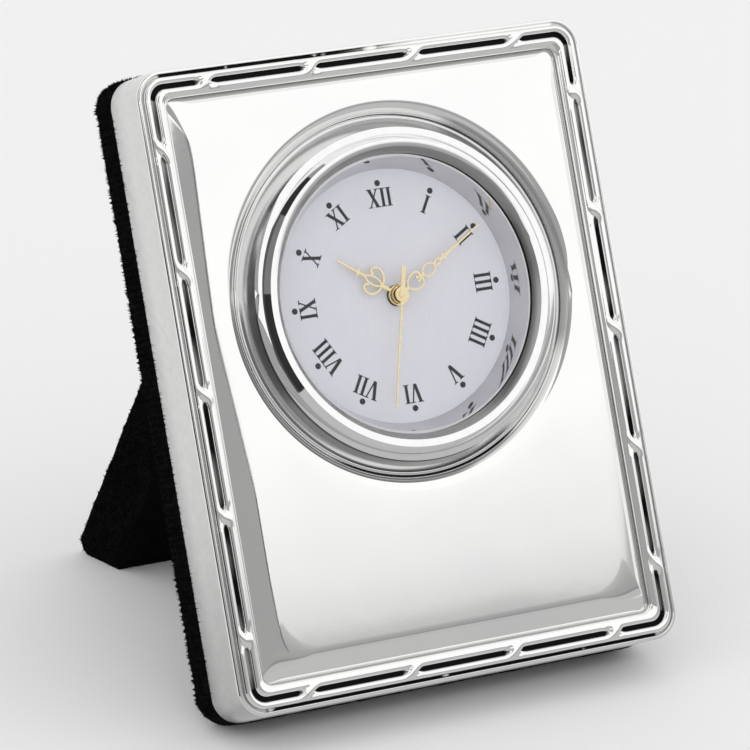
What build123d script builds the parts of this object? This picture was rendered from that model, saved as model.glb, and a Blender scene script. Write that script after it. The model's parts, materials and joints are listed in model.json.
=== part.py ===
"""Photo frame clock: a pressed silver front with a reed-and-ribbon border, a pull-out quartz clock
insert, and a velvet-covered easel back whose strut folds flat.

Every piece is drawn where it stands. The frame leans back on the table, so the pieces of the frame
and of the clock are drawn on planes that face along the frame's own normal:
x to the right, y up along the frame, z out of the front, with z = 0 at the border's groove.
"""
import math
import os

from build123d import *

os.makedirs("parts", exist_ok=True)

# Stance on the table, degrees and millimetres
lean = 24.0
strut_tilt = 24.0
rest_flat_depth = 0.45

# Pressed silver front
frame_width = 70.0
frame_height = 90.0
frame_corner = 4.0
wall_depth = 9.2
silver_gauge = 0.5
border_floor = 0.35
rim_width = 1.05
rim_height = 0.5
rim_round = 0.45

# Reed-and-ribbon border: two strands that change lanes at each crossing
groove_inset = 2.3
groove_corner = 1.75
lane_offset = 0.95
strand_radius = 0.55
strand_lift = 0.12
crossing_length = 5.0
crossings_across = 4
crossings_up = 5

# Pillow-shaped field inside the border, and the lip that rolls down to the clock
field_inset = 4.1
field_sink = 0.3
field_corner = 1.4
flank_width = 4.0
flank_slope = 40.0
flank_steps = 3
lip_width = 2.9
bezel_room = 0.2
seat_level = 1.0
hole_radius = 23.5

# Wooden core and back board, velvet cover
core_clearance = 0.05
bore_radius = 23.35
board_inset = 0.5
board_drop = 0.9
board_thickness = 5.0
velvet_thickness = 0.8
board_corner = 3.6
pocket_depth = 3.2
pocket_clearance = 0.9

# Clock insert: its centre above the middle of the frame, and levels out of the groove plane
clock_rise = 9.36
dial_level = -1.65
dial_thickness = 0.4
dial_radius = 21.4
lens_level = 0.95
lens_thickness = 1.0
lens_radius = 21.5
gasket_thickness = 0.2
gasket_width = 1.2
rehaut_foot_radius = 17.95
rehaut_top_radius = 19.25
rehaut_wall = 0.5
fit_gap = 0.04

# Bezel section
bezel_radius = 25.4
bezel_edge = 0.5
bezel_cove_top_radius = 23.5
bezel_cove_rise = 2.0
bezel_shoulder_radius = 22.8
bezel_rim_radius = 21.8
bezel_mouth_radius = 20.6
bezel_throat_radius = 19.7
bezel_height = 4.15
bezel_shoulder_drop = 0.4
bezel_mouth_drop = 0.2
bezel_cove_hollow = 0.35
bezel_round = 0.12

# Insert cup and its rubber grip ring
cup_radius = 22.6
cup_wall = 0.85
cup_depth = 6.4
cup_floor = 0.8
grip_width = 3.2
grip_thickness = 0.6
grip_ribs = 3
grip_start = 2.0

# Quartz movement
movement_radius = 17.0
movement_wall = 0.8
plate_thickness = 0.8
cover_thickness = 0.6
front_plate_thickness = 0.5
wheel_thickness = 0.35
pivot_clearance = 0.05
arbor_radius = 0.35
pivot_radius = 0.22
seconds_arbor_radius = 0.4
cannon_radius = 0.85
hour_tube_radius = 1.1
dial_hole_radius = 1.5
setting_arbor_radius = 0.6
collar_radius = 1.3
collar_thickness = 0.1
pinion_overlap = 0.05

# Levels of the movement behind the dial
hour_level = 0.85
motion_level = 1.55
main_plate_level = 2.25
centre_level = 3.4
third_level = 4.05
seconds_level = 4.7
step_level = 5.35
bridge_level = 6.0
rear_cover_level = 7.0

# Gear train: teeth and modules
rotor_teeth, step_teeth = 8, 40
step_pinion_teeth, seconds_teeth = 8, 48
seconds_pinion_teeth, third_teeth = 8, 60
third_pinion_teeth, centre_teeth = 8, 64
cannon_teeth, motion_teeth = 12, 36
motion_pinion_teeth, hour_teeth = 10, 40
setting_teeth = 10
step_module = 0.22
third_module = 0.18
motion_module = 0.2

# Bearings of the off-centre wheels, degrees anticlockwise from the three o'clock line
third_bearing = 100.0
step_bearing = 200.0
rotor_bearing = 215.0
motion_bearing = -20.0
setting_bearing = -35.0
cell_bearing = 22.0

# Motor, electronics and cell
rotor_magnet_radius = 1.3
rotor_magnet_length = 1.1
stator_hole_radius = 1.75
stator_thickness = 0.6
stator_level = 3.7
stator_arm = 0.9
stator_boss = 3.0
coil_length = 10.0
coil_radius = 1.6
coil_core_radius = 0.7
coil_flange_radius = 1.85
coil_flange = 0.5
coil_overhang = 1.6
coil_offset = 12.0
coil_shift = -1.0
coil_level = 5.0
board_plate_thickness = 0.5
crystal_radius = 1.0
crystal_length = 6.0
cell_radius = 4.75
cell_thickness = 3.6
cell_offset = 11.1
contact_thickness = 0.3
contact_radius = 0.5
chip_radius = 1.4
chip_height = 0.7
chip_shift = 3.6
circuit_width = 4.2
circuit_length = 11.5
circuit_offset = 13.2
circuit_bearing = 140.0
circuit_clearance = 0.4
crystal_offset = 12.6
crystal_shift = -1.9

# Pillars that carry the bridge, posts that carry the main plate, and the screws
pillar_radius = 0.9
pillar_boss = 1.6
pillar_distances = (12.4, 13.0, 7.6)
pillar_bearings = (80.0, 176.0, -58.0)
post_distance = 14.6
post_bearing = 35.0
stud_radius = 0.45
screw_radius = 0.5
screw_length = 1.8
screw_head_radius = 0.95
screw_head_height = 0.4
screw_slot = 0.22

# Setting knob and battery hatch
knob_radius = 2.7
knob_height = 1.5
knob_flutes = 16
knob_flute_radius = 0.28
knob_gap = 0.15
hatch_radius = 5.2
hatch_slot_width = 0.9
hatch_slot_length = 7.0
hatch_slot_depth = 0.3

# Hands, millimetres and degrees clockwise from twelve
hand_thickness = 0.22
hour_hand_length = 10.6
minute_hand_length = 16.6
second_hand_length = 16.1
second_tail_length = 4.0
hour_hand_turn = 305.3
minute_hand_turn = 60.0
second_hand_turn = 194.0
hour_hand_level = 0.7
hand_spacing = 0.55
hour_hub_radius = 1.5
minute_hub_radius = 1.25
second_hub_radius = 1.05
second_hub_height = 0.5

# Easel strut and its hinge
strut_thickness = 9.0
strut_top_width = 26.6
strut_foot_width = 42.8
strut_flare = 2.0
strut_length = 68.0
strut_foot_round = 2.0
hinge_rise = 22.7
hinge_standoff = 1.6
hinge_width = 16.0
hinge_leaf_thickness = 0.6
hinge_leaf_length = 9.0
knuckle_radius = 1.15
knuckle_gap = 0.2
pin_radius = 0.5
strut_front_gap = 0.4
rivet_radius = 0.7
rivet_head_radius = 1.25
rivet_length = 3.2
rivet_spread = 10.0
rivet_rise = 6.0
stop_clearance = 0.12
strut_knuckle_room = 0.3

# Planes of the leaning frame
lean_cos = math.cos(math.radians(lean))
lean_sin = math.sin(math.radians(lean))
half_width = frame_width / 2
half_height = frame_height / 2
board_back = wall_depth + board_thickness + velvet_thickness
board_bottom = half_height + board_drop
board_top = half_height - board_inset
frame_z = board_bottom * lean_cos + board_back * lean_sin - rest_flat_depth

tilt_cos = math.cos(math.radians(strut_tilt))
tilt_sin = math.sin(math.radians(strut_tilt))
strut_front = hinge_standoff - strut_front_gap
strut_back = strut_thickness - strut_front
hinge_up = frame_z + hinge_rise * lean_cos - (board_back + hinge_standoff) * lean_sin
hinge_behind = hinge_rise * lean_sin + (board_back + hinge_standoff) * lean_cos
foot_edge = hinge_behind + (hinge_up + strut_back * tilt_sin) * tilt_sin / tilt_cos + strut_back * tilt_cos
foot_cut = strut_foot_round / math.tan(math.radians(45 - strut_tilt / 2)) - strut_foot_round
rim_level = rim_height - border_floor
front_ahead = (half_height - rim_round) * lean_sin + (rim_level - rim_round) * lean_cos + rim_round
frame_y = (front_ahead - foot_edge + foot_cut) / 2

front = Plane(origin=(0, frame_y, frame_z), x_dir=(1, 0, 0), z_dir=(0, -lean_cos, lean_sin))
clock = Plane(front.location * Location((0, clock_rise, 0)))
clock_section = Plane(origin=clock.origin, x_dir=clock.x_dir, z_dir=-clock.y_dir)
clock_axis = Axis(clock.origin, clock.z_dir)
dial_back = dial_level - dial_thickness


def on_dial(x=0.0, y=0.0, z=0.0, turn=0.0):
    """A plane that faces the viewer at a point of the clock, turned anticlockwise in degrees."""
    return Plane(clock.location * Location((x, y, z), (0, 0, turn)))


def behind(level):
    """The level in the clock's axes of a depth behind the back of the dial."""
    return dial_back - level


def polar(distance, bearing):
    return (distance * math.cos(math.radians(bearing)), distance * math.sin(math.radians(bearing)))


def disc(plane, radius, hole=0.0):
    """A round face, with a round hole where one is asked for."""
    with BuildSketch(plane) as face:
        Circle(radius)
        if hole > 0:
            Circle(hole, mode=Mode.SUBTRACT)
    return face.sketch


def turned(points):
    """A section of straight edges beside the clock's axis, as radius and level."""
    with BuildSketch(clock_section) as face:
        with BuildLine():
            Polyline(*points, close=True)
        make_face()
    return face.sketch


def rounded_panel(plane, width, height, radius, rise=0.0):
    with BuildSketch(plane) as face:
        with Locations((0, rise)):
            RectangleRounded(width, height, radius)
    return face.sketch


def gear(plane, teeth, module, tooth_at=0.0, hole=0.0, leaves=False):
    """A clock wheel, or a pinion of leaves: straight flanks inside the cycloidal tooth."""
    pitch_radius = teeth * module / 2
    if leaves:
        root, tip, root_half, tip_half = -1.6, 0.75, 0.36, 0.3
    else:
        root, tip, root_half, tip_half = -1.45, 1.1, 0.68, 0.16
    points = []
    for tooth in range(teeth):
        middle = math.radians(tooth_at + tooth * 360 / teeth)
        for reach, half in ((root, -root_half), (tip, -tip_half), (tip, tip_half), (root, root_half)):
            radius = pitch_radius + reach * module
            angle = middle + half * module / radius
            points.append((radius * math.cos(angle), radius * math.sin(angle)))
    with BuildSketch(plane) as face:
        with BuildLine():
            Polyline(*points, close=True)
        make_face()
        if hole > 0:
            Circle(hole, mode=Mode.SUBTRACT)
    return face.sketch


def facing_gap(bearing, teeth, driver_teeth=1, driver_tooth_at=0.0):
    """Where a gear's teeth stand so that a gap meets the driver's teeth, seen from the driver."""
    pitch = 360 / driver_teeth
    ahead = (driver_tooth_at - bearing + pitch / 2) % pitch - pitch / 2
    return bearing + 180 - ahead * driver_teeth / teeth + 180 / teeth


# Silver front: two strands swept round the border
groove_x = half_width - groove_inset
groove_y = half_height - groove_inset
swerve = 2 * math.atan(2 * lane_offset / crossing_length)
border_sides = [
    (Vector(1, 0), Vector(0, -1), groove_x, groove_y, crossings_across),
    (Vector(0, 1), Vector(1, 0), groove_y, groove_x, crossings_up),
    (Vector(-1, 0), Vector(0, 1), groove_x, groove_y, crossings_across),
    (Vector(0, -1), Vector(-1, 0), groove_y, groove_x, crossings_up),
]


def strand_wire(first_lane, level):
    """One strand's centre line: straight runs in a lane, and an S-bend to the other at each crossing."""
    lane = first_lane
    with BuildLine() as wire:
        along, outward, reach, distance, count = border_sides[0]
        at = along * (groove_corner - reach) + outward * (distance + lane)
        for side in range(4):
            along, outward, reach, distance, count = border_sides[side]
            next_along, next_outward, next_reach, next_distance, next_count = border_sides[(side + 1) % 4]
            for crossing in range(count):
                middle = reach * ((2 * crossing + 1) / count - 1)
                enter = along * (middle - crossing_length / 2) + outward * (distance + lane)
                cross = along * middle + outward * distance
                leave = along * (middle + crossing_length / 2) + outward * (distance - lane)
                across = along * math.cos(swerve) - outward * math.copysign(math.sin(swerve), lane)
                Line(at, enter)
                TangentArc(enter, cross, tangent=along)
                TangentArc(cross, leave, tangent=across)
                at = leave
                lane = -lane
            corner = along * (reach - groove_corner) + outward * (distance + lane)
            turn = next_along * (groove_corner - next_reach) + next_outward * (next_distance + lane)
            Line(at, corner)
            TangentArc(corner, turn, tangent=along)
            at = turn
    return front.offset(level).location * wire.line


strands = []
for first_lane, lift in ((lane_offset, strand_lift), (-lane_offset, 0.0)):
    with BuildPart() as strand:
        centre_line = strand_wire(first_lane, lift - border_floor / 2)
        with BuildSketch(centre_line ^ 0):
            Circle(strand_radius)
        sweep(path=centre_line)
    strands.append(strand.part)


def pillow(shrink, sink):
    """The field's swelling, drawn as panels that step in along an arc."""
    arc_radius = flank_width / math.sin(math.radians(flank_slope))
    start = -border_floor - field_sink
    panels = []
    for step in range(flank_steps + 1):
        slope = math.radians(flank_slope * (1 - step / flank_steps))
        inset = field_inset + shrink + flank_width - arc_radius * math.sin(slope)
        rise = arc_radius * (math.cos(slope) - math.cos(math.radians(flank_slope)))
        panels.append(rounded_panel(
            front.offset(start + rise - sink),
            frame_width - 2 * inset,
            frame_height - 2 * inset,
            field_corner + inset - field_inset,
        ))
    return panels


field_level = flank_width * math.tan(math.radians(flank_slope / 2)) - border_floor - field_sink
lip_rise = field_level + seat_level
lip_foot_radius = bezel_radius + bezel_room
lip_top_radius = lip_foot_radius + lip_width
lip_arc_radius = (lip_width ** 2 + lip_rise ** 2) / (2 * lip_rise)
hollow_level = -seat_level - silver_gauge

with BuildPart() as field_hollow:
    loft(pillow(silver_gauge, silver_gauge), ruled=True)
    extrude(
        rounded_panel(
            front.offset(hollow_level),
            frame_width - 2 * (field_inset + silver_gauge),
            frame_height - 2 * (field_inset + silver_gauge),
            field_corner,
        ),
        amount=-border_floor - field_sink - silver_gauge - hollow_level,
    )
    extrude(
        disc(on_dial(z=hollow_level), lip_top_radius + silver_gauge),
        amount=lip_rise + silver_gauge,
        mode=Mode.SUBTRACT,
    )

with BuildPart() as silver_front:
    extrude(
        rounded_panel(front.offset(-wall_depth), frame_width, frame_height, frame_corner),
        amount=wall_depth + rim_level,
    )
    fillet(silver_front.faces().sort_by(Axis(front.origin, front.z_dir))[-1].edges(), rim_round)
    extrude(
        rounded_panel(
            front.offset(-border_floor),
            frame_width - 2 * rim_width,
            frame_height - 2 * rim_width,
            frame_corner - rim_width,
        ),
        amount=rim_height + border_floor,
        mode=Mode.SUBTRACT,
    )
    extrude(
        rounded_panel(
            front.offset(-border_floor - field_sink),
            frame_width - 2 * field_inset,
            frame_height - 2 * field_inset,
            field_corner,
        ),
        amount=field_sink,
        mode=Mode.SUBTRACT,
    )
    loft(pillow(0, 0), ruled=True)
    add(strands)
    extrude(
        rounded_panel(
            front.offset(-wall_depth),
            frame_width - 2 * silver_gauge,
            frame_height - 2 * silver_gauge,
            frame_corner - silver_gauge,
        ),
        amount=wall_depth + hollow_level,
        mode=Mode.SUBTRACT,
    )
    add(field_hollow.part, mode=Mode.SUBTRACT)
    with BuildSketch(clock_section):
        with BuildLine():
            Line((0, field_level), (0, -seat_level))
            Line((0, -seat_level), (lip_foot_radius, -seat_level))
            RadiusArc((lip_foot_radius, -seat_level), (lip_top_radius, field_level), lip_arc_radius)
            Line((lip_top_radius, field_level), (0, field_level))
        make_face()
    revolve(axis=clock_axis, mode=Mode.SUBTRACT)
    extrude(disc(on_dial(z=-wall_depth), hole_radius), amount=wall_depth, mode=Mode.SUBTRACT)
silver_front.part.label = "silver_front"
export_step(silver_front.part, "parts/silver_front.step")

# Wooden core inside the silver
core_inset = silver_gauge + core_clearance
with BuildPart() as core_board:
    extrude(
        rounded_panel(
            front.offset(-wall_depth),
            frame_width - 2 * core_inset,
            frame_height - 2 * core_inset,
            frame_corner - core_inset,
        ),
        amount=wall_depth + hollow_level - core_clearance,
    )
    extrude(disc(on_dial(z=-wall_depth), bore_radius), amount=wall_depth, mode=Mode.SUBTRACT)
core_board.part.label = "core_board"
export_step(core_board.part, "parts/core_board.step")

# Back board with a pocket for the movement, and the velvet that wraps its back and edges
velvet_width = frame_width - 2 * board_inset
velvet_height = board_top + board_bottom
velvet_rise = (board_top - board_bottom) / 2
pocket_radius = movement_radius + pocket_clearance
board_rivets = on_dial(0, hinge_rise + rivet_rise - clock_rise, -board_back)

with BuildPart() as back_board:
    extrude(
        rounded_panel(
            front.offset(velvet_thickness - board_back),
            velvet_width - 2 * velvet_thickness,
            velvet_height - 2 * velvet_thickness,
            board_corner - velvet_thickness,
            velvet_rise,
        ),
        amount=board_thickness,
    )
    extrude(disc(on_dial(z=-wall_depth), pocket_radius), amount=-pocket_depth, mode=Mode.SUBTRACT)
    with BuildSketch(board_rivets):
        with GridLocations(rivet_spread, 0, 2, 1):
            Circle(rivet_radius)
    extrude(amount=rivet_length - hinge_leaf_thickness, mode=Mode.SUBTRACT)
back_board.part.label = "back_board"
export_step(back_board.part, "parts/back_board.step")

with BuildPart() as back_velvet:
    extrude(
        rounded_panel(front.offset(-board_back), velvet_width, velvet_height, board_corner, velvet_rise),
        amount=board_back - wall_depth,
    )
    fillet(back_velvet.faces().sort_by(Axis(front.origin, front.z_dir))[0].edges(), velvet_thickness)
    extrude(
        rounded_panel(
            front.offset(velvet_thickness - board_back),
            velvet_width - 2 * velvet_thickness,
            velvet_height - 2 * velvet_thickness,
            board_corner - velvet_thickness,
            velvet_rise,
        ),
        amount=board_thickness,
        mode=Mode.SUBTRACT,
    )
    with BuildSketch(board_rivets):
        with GridLocations(rivet_spread, 0, 2, 1):
            Circle(rivet_radius)
    extrude(amount=velvet_thickness, mode=Mode.SUBTRACT)
    with BuildSketch(Plane.XY):
        Rectangle(2 * frame_width, 4 * frame_height)
    extrude(amount=-frame_height, mode=Mode.SUBTRACT)
back_velvet.part.label = "back_velvet"
export_step(back_velvet.part, "parts/back_velvet.step")

# Easel strut: z out of the strut's back, y down along it, from the hinge's axis
strut = Plane(
    origin=(0, frame_y + hinge_behind, hinge_up),
    x_dir=(1, 0, 0),
    z_dir=(0, tilt_cos, tilt_sin),
)
hinge_axis = Axis(strut.origin, strut.x_dir)
open_angle = lean + strut_tilt
head_reach = (strut_thickness + hinge_standoff) / math.tan(math.radians(open_angle / 2))
stop_plane = front.offset(-board_back - hinge_leaf_thickness - stop_clearance)


def strut_slab(inset):
    """The strut's tapered slab, wider at its back, drawn past its head and foot."""
    taper = (strut_foot_width - strut_top_width) / 2 / strut_length
    top = -head_reach
    foot = strut_length + 2 * strut_thickness
    faces = []
    for level, flare in ((inset - strut_front, 0.0), (strut_back - inset, strut_flare)):
        head = strut_top_width / 2 + flare - inset + taper * top
        base = strut_top_width / 2 + flare - inset + taper * foot
        with BuildSketch(strut.offset(level)) as face:
            with BuildLine():
                Polyline((-head, top), (head, top), (base, foot), (-base, foot), close=True)
            make_face()
        faces.append(face.sketch)
    return faces


def box_face(plane, width, height):
    with BuildSketch(plane) as face:
        Rectangle(width, height)
    return face.sketch


strut_rivets = strut.offset(-strut_front)
leaf_room = hinge_width + 2 * strut_knuckle_room
knuckle_plane = Plane(origin=strut.origin, x_dir=strut.y_dir, z_dir=strut.x_dir)


def knuckle_face(shift, radius, hole=0.0):
    return disc(knuckle_plane.offset(shift), radius, hole)


def strut_cuts(floor):
    """What is cut from the strut's slab: the bevel of its head, the table, and room for the hinge."""
    above = box_face(stop_plane, 2 * frame_width, 4 * frame_height)
    below = box_face(Plane.XY.offset(floor), 2 * frame_width, 4 * frame_height)
    knuckles = knuckle_face(-leaf_room / 2, knuckle_radius + strut_knuckle_room)
    return [
        extrude(above, amount=frame_height, mode=Mode.PRIVATE),
        extrude(below, amount=-frame_height, mode=Mode.PRIVATE),
        extrude(knuckles, amount=leaf_room, mode=Mode.PRIVATE),
    ]


with BuildPart() as strut_board:
    loft(strut_slab(velvet_thickness))
    for cut in strut_cuts(velvet_thickness):
        add(cut, mode=Mode.SUBTRACT)
    with BuildSketch(strut_rivets):
        with Locations((0, rivet_rise)):
            with GridLocations(rivet_spread, 0, 2, 1):
                Circle(rivet_radius)
    extrude(amount=rivet_length, mode=Mode.SUBTRACT)
strut_board.part.label = "strut_board"
export_step(strut_board.part, "parts/strut_board.step")

with BuildPart() as strut_velvet:
    loft(strut_slab(0))
    for cut in strut_cuts(0):
        add(cut, mode=Mode.SUBTRACT)
    foot_edges = strut_velvet.faces().sort_by(Axis.Z)[0].edges().filter_by(Axis.X)
    fillet(foot_edges.sort_by(Axis.Y)[-1], strut_foot_round)
    with BuildSketch(strut_rivets):
        with Locations((0, (hinge_leaf_length + knuckle_radius) / 2)):
            Rectangle(leaf_room, hinge_leaf_length + knuckle_radius + 2 * strut_knuckle_room)
    extrude(amount=velvet_thickness, mode=Mode.SUBTRACT)
    add(strut_board.part, mode=Mode.SUBTRACT)
    with BuildSketch(strut_rivets):
        with Locations((0, rivet_rise)):
            with GridLocations(rivet_spread, 0, 2, 1):
                Circle(rivet_radius)
    extrude(amount=rivet_length, mode=Mode.SUBTRACT)
strut_velvet.part.label = "strut_velvet"
export_step(strut_velvet.part, "parts/strut_velvet.step")

# Hinge: a leaf on the board with two outer knuckles, a leaf in the strut with the middle one, and a pin
middle_knuckle = hinge_width / 3
outer_knuckle = (hinge_width - middle_knuckle) / 2 - knuckle_gap
board_leaf = on_dial(0, hinge_rise - clock_rise, -board_back)


def rivet_pair(plane, head_depth):
    """Two countersunk rivets, their heads flush with the plane and their shanks along its normal."""
    on_plane = (Align.CENTER, Align.CENTER, Align.MIN)
    with BuildPart() as rivets:
        with Locations(plane):
            with GridLocations(rivet_spread, 0, 2, 1):
                Cylinder(rivet_radius, rivet_length, align=on_plane)
                Cone(rivet_head_radius, rivet_radius, head_depth, align=on_plane)
    return rivets


hinge_board_rivets = rivet_pair(board_rivets.offset(-hinge_leaf_thickness), hinge_leaf_thickness)
hinge_board_rivets.part.label = "hinge_board_rivets"
export_step(hinge_board_rivets.part, "parts/hinge_board_rivets.step")

hinge_strut_rivets = rivet_pair(
    Plane(strut.location * Location((0, rivet_rise, -strut_front))),
    velvet_thickness,
)
hinge_strut_rivets.part.label = "hinge_strut_rivets"
export_step(hinge_strut_rivets.part, "parts/hinge_strut_rivets.step")

with BuildPart() as hinge_board_leaf:
    with BuildSketch(board_leaf):
        with Locations((0, (hinge_leaf_length + knuckle_radius) / 2)):
            Rectangle(hinge_width, hinge_leaf_length - knuckle_radius)
        for side in (-1, 1):
            with Locations((side * (hinge_width - outer_knuckle) / 2, knuckle_radius)):
                Rectangle(outer_knuckle, 2 * knuckle_radius)
    extrude(amount=-hinge_leaf_thickness)
    for shift in (-hinge_width / 2, hinge_width / 2 - outer_knuckle):
        extrude(knuckle_face(shift, knuckle_radius), amount=outer_knuckle)
    extrude(knuckle_face(-hinge_width / 2, pin_radius), amount=hinge_width, mode=Mode.SUBTRACT)
    add(hinge_board_rivets.part, mode=Mode.SUBTRACT)
hinge_board_leaf.part.label = "hinge_board_leaf"
export_step(hinge_board_leaf.part, "parts/hinge_board_leaf.step")

with BuildPart() as hinge_strut_leaf:
    with BuildSketch(strut.offset(-strut_front)):
        with Locations((0, (hinge_leaf_length + knuckle_radius) / 2)):
            Rectangle(hinge_width, hinge_leaf_length - knuckle_radius)
        with Locations((0, knuckle_radius)):
            Rectangle(middle_knuckle, 2 * knuckle_radius)
    extrude(amount=velvet_thickness)
    extrude(knuckle_face(-middle_knuckle / 2, knuckle_radius), amount=middle_knuckle)
    extrude(
        knuckle_face(-middle_knuckle / 2, pin_radius + pivot_clearance),
        amount=middle_knuckle,
        mode=Mode.SUBTRACT,
    )
    add(hinge_strut_rivets.part, mode=Mode.SUBTRACT)
hinge_strut_leaf.part.label = "hinge_strut_leaf"
export_step(hinge_strut_leaf.part, "parts/hinge_strut_leaf.step")

with BuildPart() as hinge_pin:
    extrude(knuckle_face(-hinge_width / 2, pin_radius), amount=hinge_width)
hinge_pin.part.label = "hinge_pin"
export_step(hinge_pin.part, "parts/hinge_pin.step")

# Insert case: bezel, lens, gasket, inner ring, dial, cup and grip ring
flange_level = fit_gap - seat_level
bezel_top = flange_level + bezel_height
lens_top = lens_level + lens_thickness
cup_top = lens_level - gasket_thickness
cup_bore = cup_radius - cup_wall
cove_foot = (bezel_radius, flange_level + bezel_edge)
cove_top = (bezel_cove_top_radius, flange_level + bezel_edge + bezel_cove_rise)
shoulder = (bezel_shoulder_radius, bezel_top - bezel_shoulder_drop)
rim = (bezel_rim_radius, bezel_top)
mouth = (bezel_mouth_radius, bezel_top - bezel_mouth_drop)


def bowed(start, end, bow):
    """The middle of an arc from start to end that bows to the left by the given height."""
    chord = Vector(*end) - Vector(*start)
    return Vector(*start) + chord / 2 + Vector(-chord.Y, chord.X).normalized() * bow


with BuildPart() as bezel:
    with BuildSketch(clock_section):
        with BuildLine():
            Line((cup_radius + fit_gap, flange_level), (bezel_radius, flange_level))
            Line((bezel_radius, flange_level), cove_foot)
            ThreePointArc(cove_foot, bowed(cove_foot, cove_top, bezel_cove_hollow), cove_top)
            Line(cove_top, shoulder)
            ThreePointArc(shoulder, bowed(shoulder, rim, -bezel_round), rim)
            Line(rim, mouth)
            Line(mouth, (bezel_throat_radius, lens_top + fit_gap))
            Line((bezel_throat_radius, lens_top + fit_gap), (lens_radius + fit_gap, lens_top + fit_gap))
            Line((lens_radius + fit_gap, lens_top + fit_gap), (lens_radius + fit_gap, cup_top))
            Line((lens_radius + fit_gap, cup_top), (cup_radius + fit_gap, cup_top))
            Line((cup_radius + fit_gap, cup_top), (cup_radius + fit_gap, flange_level))
        make_face()
    revolve(axis=clock_axis)
bezel.part.label = "bezel"
export_step(bezel.part, "parts/bezel.step")

with BuildPart() as lens:
    extrude(disc(on_dial(z=lens_level), lens_radius), amount=lens_thickness)
    chamfer(lens.faces().sort_by(Axis(clock.origin, clock.z_dir))[-1].edges(), lens_thickness / 4)
lens.part.label = "lens"
export_step(lens.part, "parts/lens.step")

with BuildPart() as lens_gasket:
    extrude(disc(on_dial(z=cup_top), lens_radius, lens_radius - gasket_width), amount=gasket_thickness)
lens_gasket.part.label = "lens_gasket"
export_step(lens_gasket.part, "parts/lens_gasket.step")

with BuildPart() as inner_ring:
    revolve(
        turned((
            (rehaut_foot_radius, dial_level),
            (rehaut_top_radius, cup_top),
            (lens_radius, cup_top),
            (lens_radius, cup_top - rehaut_wall),
            (rehaut_top_radius + rehaut_wall, cup_top - rehaut_wall),
            (rehaut_foot_radius + rehaut_wall, dial_level),
        )),
        axis=clock_axis,
    )
inner_ring.part.label = "inner_ring"
export_step(inner_ring.part, "parts/inner_ring.step")

with BuildPart() as dial:
    extrude(disc(on_dial(z=dial_back), dial_radius, dial_hole_radius), amount=dial_thickness)
dial.part.label = "dial"
export_step(dial.part, "parts/dial.step")

cup_back = behind(cup_depth)
with BuildPart() as insert_cup:
    extrude(disc(on_dial(z=cup_back), cup_radius, cup_bore), amount=cup_top - cup_back)
    extrude(disc(on_dial(z=cup_back), cup_radius, movement_radius + fit_gap), amount=cup_floor)
    fillet(insert_cup.faces().sort_by(clock_axis)[0].outer_wire().edges(), cup_floor / 2)
insert_cup.part.label = "insert_cup"
export_step(insert_cup.part, "parts/insert_cup.step")

grip_back = flange_level - grip_start - grip_width
rib_pitch = grip_width / (2 * grip_ribs + 1)
grip_points = [(cup_radius, grip_back), (cup_radius, grip_back + grip_width)]
for rib in range(2 * grip_ribs + 1):
    reach = cup_radius + grip_thickness * (1.0 if rib % 2 else 0.5)
    level = grip_back + grip_width - rib * rib_pitch
    grip_points += [(reach, level), (reach, level - rib_pitch)]
with BuildPart() as grip_ring:
    revolve(turned(grip_points), axis=clock_axis)
grip_ring.part.label = "grip_ring"
export_step(grip_ring.part, "parts/grip_ring.step")

with BuildPart() as movement_holder:
    holder_back = cup_back + cup_floor
    extrude(
        disc(on_dial(z=holder_back), cup_bore - fit_gap, movement_radius + fit_gap),
        amount=dial_back - holder_back,
    )
    with BuildSketch(on_dial(z=holder_back)):
        with PolarLocations((cup_bore + movement_radius) / 2, 6):
            SlotOverall((cup_bore + movement_radius) / 4, (cup_bore - movement_radius) / 2, rotation=90)
    extrude(amount=(dial_back - holder_back) * 0.8, mode=Mode.SUBTRACT)
movement_holder.part.label = "movement_holder"
export_step(movement_holder.part, "parts/movement_holder.step")

# Where the wheels stand
third_distance = third_module * (seconds_pinion_teeth + third_teeth) / 2
third_pinion_module = 2 * third_distance / (third_pinion_teeth + centre_teeth)
motion_distance = motion_module * (cannon_teeth + motion_teeth) / 2
hour_module = 2 * motion_distance / (motion_pinion_teeth + hour_teeth)
step_distance = step_module * (step_pinion_teeth + seconds_teeth) / 2
rotor_distance = step_module * (rotor_teeth + step_teeth) / 2
setting_distance = motion_module * (motion_teeth + setting_teeth) / 2
third_at = polar(third_distance, third_bearing)
step_at = polar(step_distance, step_bearing)
motion_at = polar(motion_distance, motion_bearing)
rotor_step = polar(rotor_distance, rotor_bearing)
rotor_at = (step_at[0] + rotor_step[0], step_at[1] + rotor_step[1])
setting_step = polar(setting_distance, setting_bearing)
setting_at = (motion_at[0] + setting_step[0], motion_at[1] + setting_step[1])
cell_at = polar(cell_offset, cell_bearing)
pillars_at = [polar(*place) for place in zip(pillar_distances, pillar_bearings)]
main_plate_back = main_plate_level + plate_thickness
bridge_back = bridge_level + plate_thickness
movement_bore = movement_radius - movement_wall
centre_at = (0.0, 0.0)


def layer(at, level, depth, radius, hole=0.0, mode=Mode.ADD):
    """A round slice of the movement that starts at a level behind the dial and goes deeper."""
    extrude(disc(on_dial(*at, behind(level + depth)), radius, hole), amount=depth, mode=mode)


def toothed(at, level, depth, teeth, module, tooth_at, hole=0.0, leaves=False):
    """A slice with teeth."""
    face = gear(on_dial(*at, behind(level + depth)), teeth, module, tooth_at, hole, leaves)
    extrude(face, amount=depth)


def pivoted(at):
    """An arbor between the main plate and the bridge, with a thinner pivot at each end."""
    span = bridge_level - main_plate_back
    layer(at, main_plate_back + pivot_clearance, span - 2 * pivot_clearance, arbor_radius)
    layer(at, main_plate_back - plate_thickness / 2, span + plate_thickness, pivot_radius)


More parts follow.
